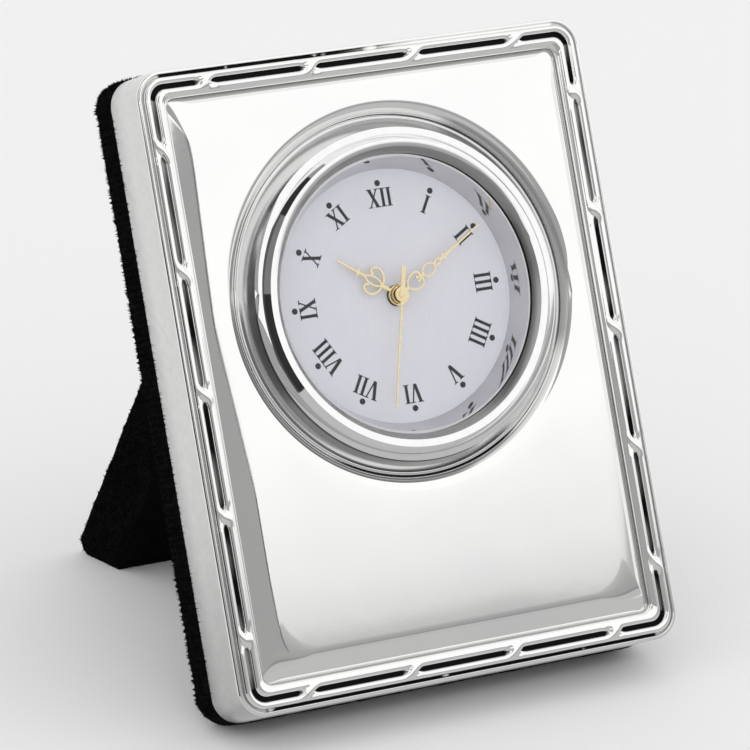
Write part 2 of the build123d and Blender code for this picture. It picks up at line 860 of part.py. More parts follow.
def linked(first, first_radius, second, second_radius):
    """The strip round two circles and the tangents between them."""
    with BuildSketch() as face:
        with Locations(first):
            Circle(first_radius)
        with Locations(second):
            Circle(second_radius)
        make_hull()
    return face.sketch


# Plates of the movement
with BuildPart() as movement_screws:
    for pillar in pillars_at:
        layer(pillar, bridge_back - screw_head_height, screw_head_height, screw_head_radius)
        layer(pillar, bridge_back - screw_head_height - screw_length, screw_length, screw_radius)
        with BuildSketch(on_dial(*pillar, behind(bridge_back))):
            Rectangle(2 * screw_head_radius, screw_slot)
        extrude(amount=screw_head_height / 2, mode=Mode.SUBTRACT)
movement_screws.part.label = "movement_screws"
export_step(movement_screws.part, "parts/movement_screws.step")

with BuildPart() as front_plate:
    layer(centre_at, 0, front_plate_thickness, movement_radius, hour_tube_radius + pivot_clearance)
front_plate.part.label = "front_plate"
export_step(front_plate.part, "parts/front_plate.step")

with BuildPart() as main_plate:
    layer(centre_at, main_plate_level, plate_thickness, movement_bore - fit_gap)
    for pillar in pillars_at:
        layer(pillar, main_plate_back, bridge_level - main_plate_back, pillar_radius)
    for post in range(3):
        post_at = polar(post_distance, post_bearing + 120 * post)
        layer(post_at, front_plate_thickness, main_plate_level - front_plate_thickness, pillar_radius)
    layer(motion_at, front_plate_thickness, main_plate_level - front_plate_thickness, stud_radius)
    layer(centre_at, main_plate_level, plate_thickness, cannon_radius + pivot_clearance, mode=Mode.SUBTRACT)
    layer(setting_at, main_plate_level, plate_thickness, setting_arbor_radius + pivot_clearance,
          mode=Mode.SUBTRACT)
    for pivot in (third_at, step_at, rotor_at):
        layer(pivot, main_plate_level, plate_thickness, pivot_radius + pivot_clearance, mode=Mode.SUBTRACT)
    add(movement_screws.part, mode=Mode.SUBTRACT)
main_plate.part.label = "main_plate"
export_step(main_plate.part, "parts/main_plate.step")

with BuildPart() as train_bridge:
    with BuildSketch(on_dial(z=behind(bridge_back))):
        for boss in (*pillars_at, rotor_at):
            with Locations(boss):
                Circle(pillar_boss)
        make_hull()
    extrude(amount=plate_thickness)
    for pivot in (centre_at, third_at, step_at, rotor_at):
        layer(pivot, bridge_level, plate_thickness, pivot_radius + pivot_clearance, mode=Mode.SUBTRACT)
    for pillar in pillars_at:
        layer(pillar, bridge_back - screw_head_height, screw_head_height, screw_head_radius,
              mode=Mode.SUBTRACT)
        layer(pillar, bridge_level, plate_thickness, screw_radius, mode=Mode.SUBTRACT)
train_bridge.part.label = "train_bridge"
export_step(train_bridge.part, "parts/train_bridge.step")

with BuildPart() as rear_cover:
    layer(centre_at, front_plate_thickness, rear_cover_level - front_plate_thickness, movement_radius,
          movement_bore)
    layer(centre_at, rear_cover_level, cover_thickness, movement_radius)
    layer(cell_at, rear_cover_level, cover_thickness, hatch_radius + pivot_clearance, mode=Mode.SUBTRACT)
    layer(setting_at, rear_cover_level, cover_thickness, setting_arbor_radius + pivot_clearance,
          mode=Mode.SUBTRACT)
rear_cover.part.label = "rear_cover"
export_step(rear_cover.part, "parts/rear_cover.step")

cover_back = rear_cover_level + cover_thickness
with BuildPart() as battery_hatch:
    layer(cell_at, rear_cover_level, cover_thickness, hatch_radius)
    with BuildSketch(on_dial(*cell_at, behind(cover_back))):
        SlotOverall(hatch_slot_length, hatch_slot_width)
    extrude(amount=hatch_slot_depth, mode=Mode.SUBTRACT)
battery_hatch.part.label = "battery_hatch"
export_step(battery_hatch.part, "parts/battery_hatch.step")

# Cell, circuit and step motor
cell_level = main_plate_back + contact_thickness
cell_step = cell_thickness / 8
with BuildPart() as button_cell:
    layer(cell_at, cell_level, cell_step, cell_radius - 2 * cell_step)
    layer(cell_at, cell_level + cell_step, cell_thickness - cell_step, cell_radius)
button_cell.part.label = "button_cell"
export_step(button_cell.part, "parts/button_cell.step")

contact_reach = circuit_length / 2 + contact_radius + fit_gap
contact_distance = math.hypot(circuit_offset, contact_reach)
contact_turn = math.degrees(math.atan2(contact_reach, circuit_offset))
contact_tip = polar(contact_distance, circuit_bearing - contact_turn)
with BuildPart() as cell_contact:
    strip = linked(cell_at, cell_radius / 2, contact_tip, contact_radius)
    extrude(on_dial(z=behind(cell_level)).location * strip, amount=contact_thickness)
cell_contact.part.label = "cell_contact"
export_step(cell_contact.part, "parts/cell_contact.step")

with BuildPart() as cell_clip:
    with BuildSketch(on_dial(*cell_at, behind(bridge_level))):
        Circle(cell_radius + pivot_clearance + contact_thickness)
        Circle(cell_radius + pivot_clearance, mode=Mode.SUBTRACT)
        with Locations((0, -cell_radius)):
            Rectangle(cell_radius, cell_radius, mode=Mode.INTERSECT)
    extrude(amount=bridge_level - main_plate_back)
cell_clip.part.label = "cell_clip"
export_step(cell_clip.part, "parts/cell_clip.step")

circuit_back = main_plate_back + board_plate_thickness
with BuildPart() as circuit_board:
    with BuildSketch(on_dial(0, 0, behind(circuit_back), circuit_bearing)):
        with Locations((circuit_offset, 0)):
            Rectangle(circuit_width, circuit_length)
        Circle(movement_bore - circuit_clearance, mode=Mode.INTERSECT)
    extrude(amount=board_plate_thickness)
circuit_board.part.label = "circuit_board"
export_step(circuit_board.part, "parts/circuit_board.step")

with BuildPart() as circuit_chip:
    chip_plane = on_dial(0, 0, behind(circuit_back + chip_height), circuit_bearing)
    with BuildSketch(chip_plane):
        with Locations((circuit_offset, chip_shift)):
            Circle(chip_radius)
    extrude(amount=chip_height)
    fillet(circuit_chip.faces().sort_by(clock_axis)[0].edges(), chip_height / 2)
circuit_chip.part.label = "circuit_chip"
export_step(circuit_chip.part, "parts/circuit_chip.step")

crystal_middle = Plane(
    on_dial(0, 0, behind(circuit_back + crystal_radius), circuit_bearing).location
    * Location((crystal_offset, crystal_shift - crystal_length / 2, 0), (-90, 0, 0))
)
with BuildPart() as quartz_can:
    extrude(disc(crystal_middle, crystal_radius), amount=crystal_length)
    fillet(quartz_can.edges(), crystal_radius / 4)
quartz_can.part.label = "quartz_can"
export_step(quartz_can.part, "parts/quartz_can.step")

coil_start = on_dial(coil_shift - coil_length / 2, -coil_offset, behind(coil_level))
coil_end = Plane(origin=coil_start.origin, x_dir=clock.y_dir, z_dir=clock.x_dir)
with BuildPart() as coil_core:
    extrude(disc(coil_end.offset(-coil_overhang), coil_core_radius), amount=coil_length + 2 * coil_overhang)
coil_core.part.label = "coil_core"
export_step(coil_core.part, "parts/coil_core.step")

bobbin_radius = (coil_core_radius + coil_radius) / 2
with BuildPart() as coil_bobbin:
    extrude(disc(coil_end, bobbin_radius), amount=coil_length)
    for shift in (0, coil_length - coil_flange):
        extrude(disc(coil_end.offset(shift), coil_flange_radius), amount=coil_flange)
    add(coil_core.part, mode=Mode.SUBTRACT)
coil_bobbin.part.label = "coil_bobbin"
export_step(coil_bobbin.part, "parts/coil_bobbin.step")

with BuildPart() as coil_winding:
    wound_length = coil_length - 2 * coil_flange
    extrude(disc(coil_end.offset(coil_flange), coil_radius, bobbin_radius), amount=wound_length)
coil_winding.part.label = "coil_winding"
export_step(coil_winding.part, "parts/coil_winding.step")

stator_reach = coil_length / 2 + stator_arm + fit_gap
left_end = (coil_shift - stator_reach, -coil_offset)
right_end = (coil_shift + stator_reach, -coil_offset)
elbow = (coil_shift + stator_reach, coil_flange_radius + stator_arm + fit_gap - coil_offset)
shoulder_at = (rotor_at[0] + stator_arm, rotor_at[1] - stator_boss + stator_arm)
with BuildPart() as stator:
    arms = (
        linked(rotor_at, stator_boss, left_end, stator_arm),
        linked(shoulder_at, stator_arm, elbow, stator_arm),
        linked(elbow, stator_arm, right_end, stator_arm),
    )
    for arm in arms:
        extrude(
            on_dial(z=behind(stator_level + stator_thickness)).location * arm,
            amount=stator_thickness,
        )
    layer(rotor_at, stator_level, stator_thickness, stator_hole_radius, mode=Mode.SUBTRACT)
stator.part.label = "stator"
export_step(stator.part, "parts/stator.step")

with BuildPart() as rotor_magnet:
    layer(rotor_at, stator_level + (stator_thickness - rotor_magnet_length) / 2, rotor_magnet_length,
          rotor_magnet_radius, arbor_radius)
rotor_magnet.part.label = "rotor_magnet"
export_step(rotor_magnet.part, "parts/rotor_magnet.step")

# Going train, from the rotor to the centre wheel
with BuildPart() as rotor_pinion:
    pivoted(rotor_at)
    toothed(rotor_at, step_level - pinion_overlap, wheel_thickness + 2 * pinion_overlap, rotor_teeth,
            step_module, facing_gap(rotor_bearing, rotor_teeth, step_teeth), leaves=True)
rotor_pinion.part.label = "rotor_pinion"
export_step(rotor_pinion.part, "parts/rotor_pinion.step")

with BuildPart() as step_wheel:
    pivoted(step_at)
    toothed(step_at, step_level, wheel_thickness, step_teeth, step_module, 0)
    toothed(step_at, seconds_level - pinion_overlap, step_level - seconds_level + pinion_overlap,
            step_pinion_teeth, step_module, facing_gap(step_bearing, step_pinion_teeth, seconds_teeth),
            leaves=True)
step_wheel.part.label = "step_wheel"
export_step(step_wheel.part, "parts/step_wheel.step")

second_hand_level = hour_hand_level + 2 * hand_spacing
seconds_front = -dial_thickness - second_hand_level
seconds_back = bridge_level - pivot_clearance
with BuildPart() as seconds_wheel:
    layer(centre_at, seconds_front, seconds_back - seconds_front, seconds_arbor_radius)
    layer(centre_at, seconds_back, plate_thickness, pivot_radius)
    toothed(centre_at, seconds_level, wheel_thickness, seconds_teeth, step_module, 0)
    toothed(centre_at, third_level - pinion_overlap, seconds_level - third_level + pinion_overlap,
            seconds_pinion_teeth, third_module, 0, leaves=True)
seconds_wheel.part.label = "seconds_wheel"
export_step(seconds_wheel.part, "parts/seconds_wheel.step")

with BuildPart() as third_wheel:
    pivoted(third_at)
    toothed(third_at, third_level, wheel_thickness, third_teeth, third_module,
            facing_gap(third_bearing, third_teeth, seconds_pinion_teeth))
    toothed(third_at, centre_level - pinion_overlap, third_level - centre_level + pinion_overlap,
            third_pinion_teeth, third_pinion_module,
            facing_gap(third_bearing, third_pinion_teeth, centre_teeth), leaves=True)
third_wheel.part.label = "third_wheel"
export_step(third_wheel.part, "parts/third_wheel.step")

with BuildPart() as centre_wheel:
    toothed(centre_at, centre_level, wheel_thickness, centre_teeth, third_pinion_module, 0,
            hole=cannon_radius + pivot_clearance)
centre_wheel.part.label = "centre_wheel"
export_step(centre_wheel.part, "parts/centre_wheel.step")

# Motion work under the dial, from the cannon pinion to the hour wheel, and the setting knob
minute_hand_level = hour_hand_level + hand_spacing
cannon_front = -dial_thickness - minute_hand_level - hand_thickness
cannon_back = centre_level + wheel_thickness + pivot_clearance
with BuildPart() as cannon_pinion:
    layer(centre_at, cannon_front, cannon_back + collar_thickness - cannon_front, cannon_radius)
    layer(centre_at, cannon_back, collar_thickness, collar_radius)
    toothed(centre_at, motion_level, wheel_thickness, cannon_teeth, motion_module, 0, leaves=True)
    layer(centre_at, cannon_front, cannon_back + collar_thickness - cannon_front,
          seconds_arbor_radius + pivot_clearance, mode=Mode.SUBTRACT)
cannon_pinion.part.label = "cannon_pinion"
export_step(cannon_pinion.part, "parts/cannon_pinion.step")

motion_tooth_at = facing_gap(motion_bearing, motion_teeth, cannon_teeth)
with BuildPart() as motion_wheel:
    toothed(motion_at, motion_level, wheel_thickness, motion_teeth, motion_module, motion_tooth_at)
    pinion_length = motion_level - hour_level + pinion_overlap
    toothed(motion_at, hour_level - pinion_overlap, pinion_length, motion_pinion_teeth, hour_module,
            facing_gap(motion_bearing, motion_pinion_teeth, hour_teeth), leaves=True)
    layer(motion_at, hour_level - pinion_overlap, pinion_length + wheel_thickness,
          stud_radius + pivot_clearance, mode=Mode.SUBTRACT)
motion_wheel.part.label = "motion_wheel"
export_step(motion_wheel.part, "parts/motion_wheel.step")

hour_front = -dial_thickness - hour_hand_level - hand_thickness
hour_back = hour_level + wheel_thickness
with BuildPart() as hour_wheel:
    layer(centre_at, hour_front, hour_back - hour_front, hour_tube_radius)
    toothed(centre_at, hour_level, wheel_thickness, hour_teeth, hour_module, 0)
    layer(centre_at, hour_front, hour_back - hour_front, cannon_radius + pivot_clearance, mode=Mode.SUBTRACT)
hour_wheel.part.label = "hour_wheel"
export_step(hour_wheel.part, "parts/hour_wheel.step")

knob_level = cover_back + knob_gap
with BuildPart() as setting_knob:
    layer(setting_at, knob_level, knob_height, knob_radius)
    with BuildSketch(on_dial(*setting_at, behind(knob_level + knob_height))):
        with PolarLocations(knob_radius, knob_flutes):
            Circle(knob_flute_radius)
    extrude(amount=knob_height, mode=Mode.SUBTRACT)
    layer(setting_at, motion_level - pinion_overlap, knob_level - motion_level + pinion_overlap,
          setting_arbor_radius)
    toothed(setting_at, motion_level - pinion_overlap, wheel_thickness + 2 * pinion_overlap, setting_teeth,
            motion_module, facing_gap(setting_bearing, setting_teeth, motion_teeth, motion_tooth_at),
            leaves=True)
setting_knob.part.label = "setting_knob"
export_step(setting_knob.part, "parts/setting_knob.step")


# Hands: openwork of curled strokes, a star, and a blade
def blade(start, start_width, end, end_width):
    with BuildSketch() as face:
        with BuildLine():
            Polyline(
                (-start_width / 2, start),
                (start_width / 2, start),
                (end_width / 2, end),
                (-end_width / 2, end),
                close=True,
            )
        make_face()
    return face.sketch


def stroke(width, *points):
    """A curled stroke and its mirror image, with a round end."""
    with BuildSketch() as face:
        for side in (-1, 1):
            with BuildLine() as curl:
                Spline(*[(side * x, y) for x, y in points])
            trace(curl.edges(), line_width=width)
            with Locations((side * points[-1][0], points[-1][1])):
                Circle(width * 0.8)
    return face.sketch


def star(height, reach, waist):
    points = []
    for point in range(8):
        points.append(polar(waist if point % 2 else reach, 45 * point))
    with BuildSketch() as face:
        with Locations((0, height)):
            Polygon(*points, align=None)
    return face.sketch


def hand(turn, level, hub_radius, hole, pieces):
    """A hand cut from sheet, its blade along the turn, clockwise from twelve."""
    plane = on_dial(0, 0, dial_level + level, -turn)
    with BuildPart() as sheet:
        extrude(disc(plane, hub_radius), amount=hand_thickness)
        for piece in pieces:
            extrude(plane.location * piece, amount=hand_thickness)
        if hole > 0:
            extrude(disc(plane, hole), amount=hand_thickness, mode=Mode.SUBTRACT)
    return sheet


hour_pieces = [
    blade(0, 0.5, 3.2, 0.5),
    stroke(0.3, (0.0, 2.9), (0.95, 3.05), (1.8, 3.8), (1.9, 4.75), (1.35, 5.35), (0.85, 5.0)),
    stroke(0.26, (0.0, 2.9), (0.5, 3.8), (0.5, 4.9), (0.0, 5.9)),
    star(7.0, 0.75, 0.28),
    blade(5.6, 0.46, hour_hand_length, 0.2),
]
hour_hand = hand(hour_hand_turn, hour_hand_level, hour_hub_radius, hour_tube_radius, hour_pieces)
hour_hand.part.label = "hour_hand"
export_step(hour_hand.part, "parts/hour_hand.step")

minute_pieces = [
    blade(0, 0.5, 1.8, 0.5),
    stroke(0.26, (0.0, 1.6), (0.8, 2.2), (1.15, 3.2), (0.85, 4.1), (0.25, 4.2), (0.3, 3.6)),
    stroke(0.24, (0.0, 4.6), (0.75, 5.3), (0.75, 6.2), (0.0, 6.95)),
    stroke(0.22, (0.0, 6.85), (0.32, 7.4), (0.3, 7.8), (0.0, 8.3)),
    blade(3.9, 0.34, 4.9, 0.34),
    star(8.9, 0.7, 0.26),
    blade(8.1, 0.42, minute_hand_length, 0.18),
]
minute_hand = hand(minute_hand_turn, minute_hand_level, minute_hub_radius, cannon_radius, minute_pieces)
minute_hand.part.label = "minute_hand"
export_step(minute_hand.part, "parts/minute_hand.step")

second_pieces = [
    blade(0, 0.36, second_hand_length, 0.2),
    blade(-second_tail_length, 0.66, 0, 0.6),
]
second_hand = hand(second_hand_turn, second_hand_level, second_hub_radius, 0, second_pieces)
with second_hand:
    layer(centre_at, seconds_front - second_hub_height, second_hub_height, second_hub_radius / 2)
second_hand.part.label = "second_hand"
export_step(second_hand.part, "parts/second_hand.step")
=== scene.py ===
"""Looks of the photo frame clock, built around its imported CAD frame.

Shapes are drawn in millimetres on the leaning face: x to the right, y up along the frame and z out
of the front, from the middle of the frame with z = 0 at the border's groove, and are then put in
the row frame in metres.
"""
import json
import math

import bmesh
import bpy
import numpy as np
from mathutils import Matrix, Vector, noise
from mathutils.bvhtree import BVHTree


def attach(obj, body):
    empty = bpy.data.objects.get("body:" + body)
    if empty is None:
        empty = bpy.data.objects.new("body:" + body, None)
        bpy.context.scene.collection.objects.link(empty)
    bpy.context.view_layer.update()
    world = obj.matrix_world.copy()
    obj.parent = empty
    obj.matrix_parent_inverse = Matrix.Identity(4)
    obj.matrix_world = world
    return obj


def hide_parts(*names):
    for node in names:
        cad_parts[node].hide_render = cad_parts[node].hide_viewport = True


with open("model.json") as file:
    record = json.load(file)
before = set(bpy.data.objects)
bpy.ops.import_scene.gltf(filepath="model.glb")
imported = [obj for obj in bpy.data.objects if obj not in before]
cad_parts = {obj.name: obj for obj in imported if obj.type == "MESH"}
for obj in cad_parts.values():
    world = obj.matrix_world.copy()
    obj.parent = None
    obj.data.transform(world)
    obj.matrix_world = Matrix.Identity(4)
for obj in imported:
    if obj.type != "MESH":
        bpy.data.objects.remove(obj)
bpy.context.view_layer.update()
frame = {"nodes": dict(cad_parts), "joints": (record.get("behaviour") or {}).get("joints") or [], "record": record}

# The leaning face, read from the joints of the frame
MM = 0.001
nodes = frame["nodes"]
joints = {joint["name"]: joint for joint in frame["joints"]}
rightward = np.array((1.0, 0.0, 0.0))
outward = np.array(joints["insert_pull"]["axis"])
upward = np.cross(outward, rightward)
face_axes = np.array((rightward, upward, outward))
clock_rise = 9.36
clock_origin = np.array(joints["minute_turn"]["pos_m"])
face_origin = clock_origin - clock_rise * MM * upward

# The strut's own axes: across it, through its thickness and along it
strut_lean = math.radians(24.0)
strut_axes = ((1, 0, 0), (0, math.cos(strut_lean), math.sin(strut_lean)),
              (0, -math.sin(strut_lean), math.cos(strut_lean)))

# Pressed silver front
half_width, half_height = 35.0, 45.0
wall_foot = -9.2
gauge = 0.5
rim_level = 0.15
rim_round = 0.45
rim_inner = 0.62
rim_gap = 0.03
rim_turns = (12.0, 90.0)
foot_flare = 0.75
border_floor = -0.35
groove_inset = 2.3
lane_offset = 0.87
strand_radius = 0.57
outer_half = 0.5
strand_level = -0.1
far_below = -9.0
apron_width = 0.88
rail_drop = 0.06
crossing_length = 3.7
crossing_lift = 0.17
crossing_spread = 0.5
crossings_across, crossings_up = 4, 5
field_inset = 4.1
field_corner = 1.4
field_foot = -0.65
flank_width = 4.0
flank_slope = math.radians(40.0)
lip_foot_radius, lip_top_radius = 25.46, 27.6
lip_outer_slope = 0.05
lip_blend = 0.006
seat_level = -1.0
hole_radius = 23.5
corner_insets = (0.0, groove_inset, field_inset)
corner_radii = (4.0, 1.75, field_corner)

# How finely the front is divided
perimeter_step = 0.3
corner_steps = 14
wall_rows, rim_rows, border_rows = 12, 8, 64
flank_rows, top_rows, lip_rows = 40, 10, 20
flank_skip, top_skip = 6, 3
probe_reach, probe_count = 4 * flank_width, 81
flank_margin, flank_share, span_share = 1.02, 1.05, 0.8

# Darkening of the silver, from 0 where it is bright to 1 where it is black: patina in the border's grooves, duller
# walls, and painted reflection and painted shade round the lip
wall_dull, foot_darkening, low_darkening, cloud_dull = 0.25, 0.16, 0.1, 0.06
foot_darkening_level = -5.0
groove_dull = 0.35
slot_levels, slot_wear = (-0.1, border_floor + 0.06), 0.05
upright_dark, upright_change, upright_least = 0.85, 0.5, 0.6
groove_levels, groove_wear = (0.14, -0.08), 0.08
top_fade = (9.0, -4.0)
ragged_limits, ragged_share = (-0.65, -0.4), 0.5
field_edge_width = 0.2
# Painted reflection: the lip's lower part darkened on its right, standing in for the grey band mirrored there:
# darkness, the radius inside which it is full and its fade, and the heading and span of the right side
lip_painted_reflection, lip_painted_reflection_radius, lip_painted_reflection_fade = 0.45, 26.35, 0.2
lip_painted_reflection_heading, lip_painted_reflection_span = math.radians(20.0), (0.66, 0.78)
# Painted shade: the gap at the lip's foot blackened along the bottom: darkness, the band's widths from the foot,
# and the span of the low side
gap_painted_shade, gap_shade_width, gap_shade_core = 0.95, 0.35, 0.1
gap_shade_span = (-0.8, -0.9)

# Unevenness of the front: size and seed
wear_wave = (2.5, 1.7)
upright_wave = (9.0, 2.2)
ragged_wave = (0.8, 4.4)
dent_wave = (6.0, 5.3)
dent_depth = 0.02
cloud_size = 1.2

# Clock insert, heights from the groove plane
dial_level = -1.65
lens_top = 1.95
lens_thickness = 0.3
lens_radius = 21.5
cup_radius, cup_top = 22.6, 0.75
flange_radius = 25.4
bezel_foot = -0.96
bezel_top = 3.19
fit_gap = 0.04
turned_steps = 360
turned_crease = 28.0

# Painted reflection: dark streaks up the lower left of the bezel's wall, standing in for the dark studio mirrored
# there: share of the way up and darkening
wall_painted_reflections = ((0.0, 0.8), (0.15, 0.8), (0.22, 0.25), (0.45, 0.25),
                (0.52, 0.6), (0.85, 0.6), (0.92, 0.9), (1.0, 0.9))
bezel_painted_reflection_heading, bezel_painted_reflection_span = math.radians(232.0), (0.45, 0.65)

# Dial markings
numeral_height = 2.65
numeral_radius = 13.95
dot_radius = 0.435
dot_distance = 16.03
dot_steps = 28
hour_degrees = 30.0
ink_depth, ink_layer = 0.03, 0.003

# Velvet pile: deep on edges and on the strut, short on the frame's back
pile_grid = 0.9
weld_distance, cut_distance = 0.002, 0.01
flat_angle = math.radians(2)
ray_start, ray_reach = 0.02, 200
across_nap = 0.5
deep_bumps, short_bumps = 0.1, 0.04
lump_size, fuzz_size, fuzz_share = 1.3, 0.5, 0.6
edge_swell = 0.6
sole_start, sole_fade = 0.6, 0.8
deep_tufts, short_tufts = 12.0, 1.5
short_share, sole_share = 0.18, 0.3
tuft_height, tuft_lengths = 0.42, (0.5, 1.3)
tuft_base, tuft_sink = 0.15, 0.2
lean_spread, nap_spread = 0.3, 0.5
random = np.random.default_rng(7)


def to_row(points, origin=face_origin):
    """Points of the leaning face, in millimetres, as points of the row frame in metres."""
    return origin + MM * np.asarray(points, float) @ face_axes


def add_object(name, data):
    """A new object of the scene with that mesh or camera."""
    made = bpy.data.objects.new(name, data)
    bpy.context.scene.collection.objects.link(made)
    return made


def add_piece(name, points, faces, body, replaced=(), crease=40.0):
    """A closed mesh that rides on a body, smooth except at edges sharper than the crease, in degrees."""
    mesh = bpy.data.meshes.new(name)
    mesh.from_pydata([tuple(p) for p in points], [], faces)
    clean = bmesh.new()
    clean.from_mesh(mesh)
    bmesh.ops.recalc_face_normals(clean, faces=clean.faces)
    clean.to_mesh(mesh)
    clean.free()
    mesh.shade_smooth()
    mesh.set_sharp_from_angle(angle=math.radians(crease))
    piece = add_object(name, mesh)
    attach(piece, body)
    if replaced:
        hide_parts(*replaced)
    return piece


def set_values(mesh, name, values):
    """One value for each point of the mesh, which its material reads by that name."""
    layer = mesh.attributes.new(name, "FLOAT", "POINT")
    layer.data.foreach_set("value", np.array(values, np.float32))


def torus_faces(rings, steps):
    """The quads of a surface closed both ways: rings of steps points, the last joined to the first."""
    ring, step = np.meshgrid(np.arange(rings), np.arange(steps), indexing="ij")
    next_ring, next_step = (ring + 1) % rings, (step + 1) % steps
    corners = (ring * steps + step, ring * steps + next_step,
               next_ring * steps + next_step, next_ring * steps + step)
    return np.stack(corners, -1).reshape(-1, 4).tolist()


def prism(outline_points, height):
    """The points and faces of a flat outline raised by that height."""
    count = len(outline_points)
    low = [(x, y, 0.0) for x, y in outline_points]
    high = [(x, y, height) for x, y in outline_points]
    sides = [(k, (k + 1) % count, count + (k + 1) % count, count + k) for k in range(count)]
    return low + high, sides + [tuple(range(count - 1, -1, -1)), tuple(range(count, 2 * count))]


def round_angles(count):
    return np.linspace(0, 2 * math.pi, count, endpoint=False)


def circle(radius, count):
    return [(radius * math.cos(a), radius * math.sin(a)) for a in round_angles(count)]


def smooth_step(low, high, value):
    share = np.clip((value - low) / (high - low), 0, 1)
    return share * share * (3 - 2 * share)


def soft_least(a, b, blend):
    share = np.clip(0.5 + 0.5 * (b - a) / blend, 0, 1)
    return b + (a - b) * share - blend * share * (1 - share)


def wave(points, size, seed):
    """Smooth unevenness between about -1 and 1, at that size in millimetres.

    Flat points use their y as z too.
    """
    shifted = np.asarray(points, float) / size + seed
    return np.array([noise.noise(Vector((p[0], p[1], p[-1]))) for p in shifted])


# Silver front


def half_side(side):
    """Half the length of a side of the frame: the bottom and the top are even, the others odd."""
    return half_width if side % 2 == 0 else half_height


def perimeter_marks():
    """Stations round the border, anticlockwise from the bottom edge's left end: side, place and turn.

    The place runs from -1 to 1 on a straight side, and the turn from 0 to 1 round the corner after it.
    """
    marks = []
    for side in range(4):
        reach = half_side(side) - groove_inset - corner_radii[1]
        count = int(2 * reach / perimeter_step)
        marks += [(side, -1 + 2 * k / count, 0.0) for k in range(count)]
        marks += [(side, 1.0, k / corner_steps) for k in range(corner_steps)]
    return np.array(marks)


marks = perimeter_marks()
steps = len(marks)
side_heading = np.radians(90.0 * marks[:, 0])
on_level_side = marks[:, 0] % 2 == 0
on_corner = marks[:, 2] > 0


def outline(inset):
    """The stations on the rounded rectangle at that inset from the frame's edge."""
    radius = np.interp(inset, corner_insets, corner_radii)
    across, up = half_width - inset - radius, half_height - inset - radius
    reach = np.where(on_level_side, across, up)
    depth = np.where(on_level_side, up, across)
    along = marks[:, 1] * reach
    turn = marks[:, 2] * math.pi / 2
    forward = along + radius * np.sin(turn)
    aside = depth + radius * np.cos(turn)
    x = forward * np.cos(side_heading) + aside * np.sin(side_heading)
    y = forward * np.sin(side_heading) - aside * np.cos(side_heading)
    return np.stack((x, y), 1)


def lanes():
    """How far strand A lies outside the middle of the border at each station, its lift, and its slope."""
    lane = 1.0
    offset, lift, slope = np.zeros(steps), np.zeros(steps), np.zeros(steps)
    for side in range(4):
        count = crossings_across if side % 2 == 0 else crossings_up
        half = half_side(side) - groove_inset
        here = marks[:, 0] == side
        along = marks[here, 1] * (half - corner_radii[1])
        values, lifts, slopes = np.full(here.sum(), lane), np.zeros(here.sum()), np.zeros(here.sum())
        for crossing in range(count):
            middle = half * ((2 * crossing + 1) / count - 1)
            share = np.clip((along - middle) / crossing_length + 0.5, 0, 1)
            values = np.where(share > 0, lane * np.cos(math.pi * share), values)
            slopes -= lane * np.sin(math.pi * share) * math.pi * lane_offset / crossing_length
            lifts += lane * np.sin(math.pi * share) ** 2
            lane = -lane
        offset[here], lift[here], slope[here] = values * lane_offset, lifts, slopes
        offset[here & on_corner] = lane * lane_offset
    return offset, lift, slope


lane_values, lane_lift, lane_slope = lanes()


def strand_height(inset, offset, lift):
    """The top of a half-round strand above the border at that inset, or far below where it isn't."""
    gap = (inset - groove_inset + offset) / np.sqrt(1 + lane_slope ** 2)
    half = np.where((gap < 0) & (offset > 0), outer_half, strand_radius)
    half = half * (1 + crossing_spread * np.clip(lift, 0, None))
    inside = np.clip(1 - (gap / half) ** 2, 0, None)
    crown = strand_level + crossing_lift * lift + strand_radius * np.sqrt(inside)
    return np.where(inside > 0, crown, far_below)


def rail_height(inset):
    """The two straight rails under the strands, the inner one with an apron down to the field."""
    heights = [far_below]
    for middle, outer, inner in ((groove_inset - lane_offset, outer_half, strand_radius),
                                 (groove_inset + lane_offset, strand_radius, apron_width)):
        share = (inset - middle) / (inner if inset > middle else outer)
        if abs(share) < 1:
            heights.append(strand_level - rail_drop + strand_radius * math.sqrt(1 - share * share))
    return max(heights)


def border_height(inset):
    """The pressed border: the rim's inner roll, the groove floor, the rails and the crossing strands."""
    floor = np.full(steps, border_floor)
    if inset < rim_inner:
        drop = (inset - rim_round) / (rim_inner - rim_round)
        floor = floor + (rim_level - border_floor) * math.sqrt(max(0.0, 1 - drop * drop))
    first = strand_height(inset, lane_values, lane_lift)
    second = strand_height(inset, -lane_values, -lane_lift)
    return np.maximum(np.maximum(floor, rail_height(inset)), np.maximum(first, second))


def border_tarnish(inset, flat, height):
    """Black in the slot between the rails, and ragged in the outer groove's bottom and top left.

    The rest of the outer groove and the inner one are only dull.
    """
    worn = wave(flat, *wear_wave)
    depth = smooth_step(*slot_levels, height + slot_wear * worn)
    if inset > groove_inset + lane_offset:
        return groove_dull * depth
    level_side = on_level_side & ~on_corner
    if inset > groove_inset - lane_offset:
        upright = upright_dark + upright_change * wave(flat, *upright_wave)
        return depth * np.where(level_side | on_corner, 1.0, np.clip(upright, upright_least, 1.0))
    groove = smooth_step(*groove_levels, height + groove_wear * worn)
    groove *= np.where(flat[:, 1] > 0, smooth_step(*top_fade, flat[:, 0]), 1.0)
    ragged = smooth_step(*ragged_limits, worn + ragged_share * wave(flat, *ragged_wave))
    return np.where(level_side, groove * ragged, groove_dull * depth)


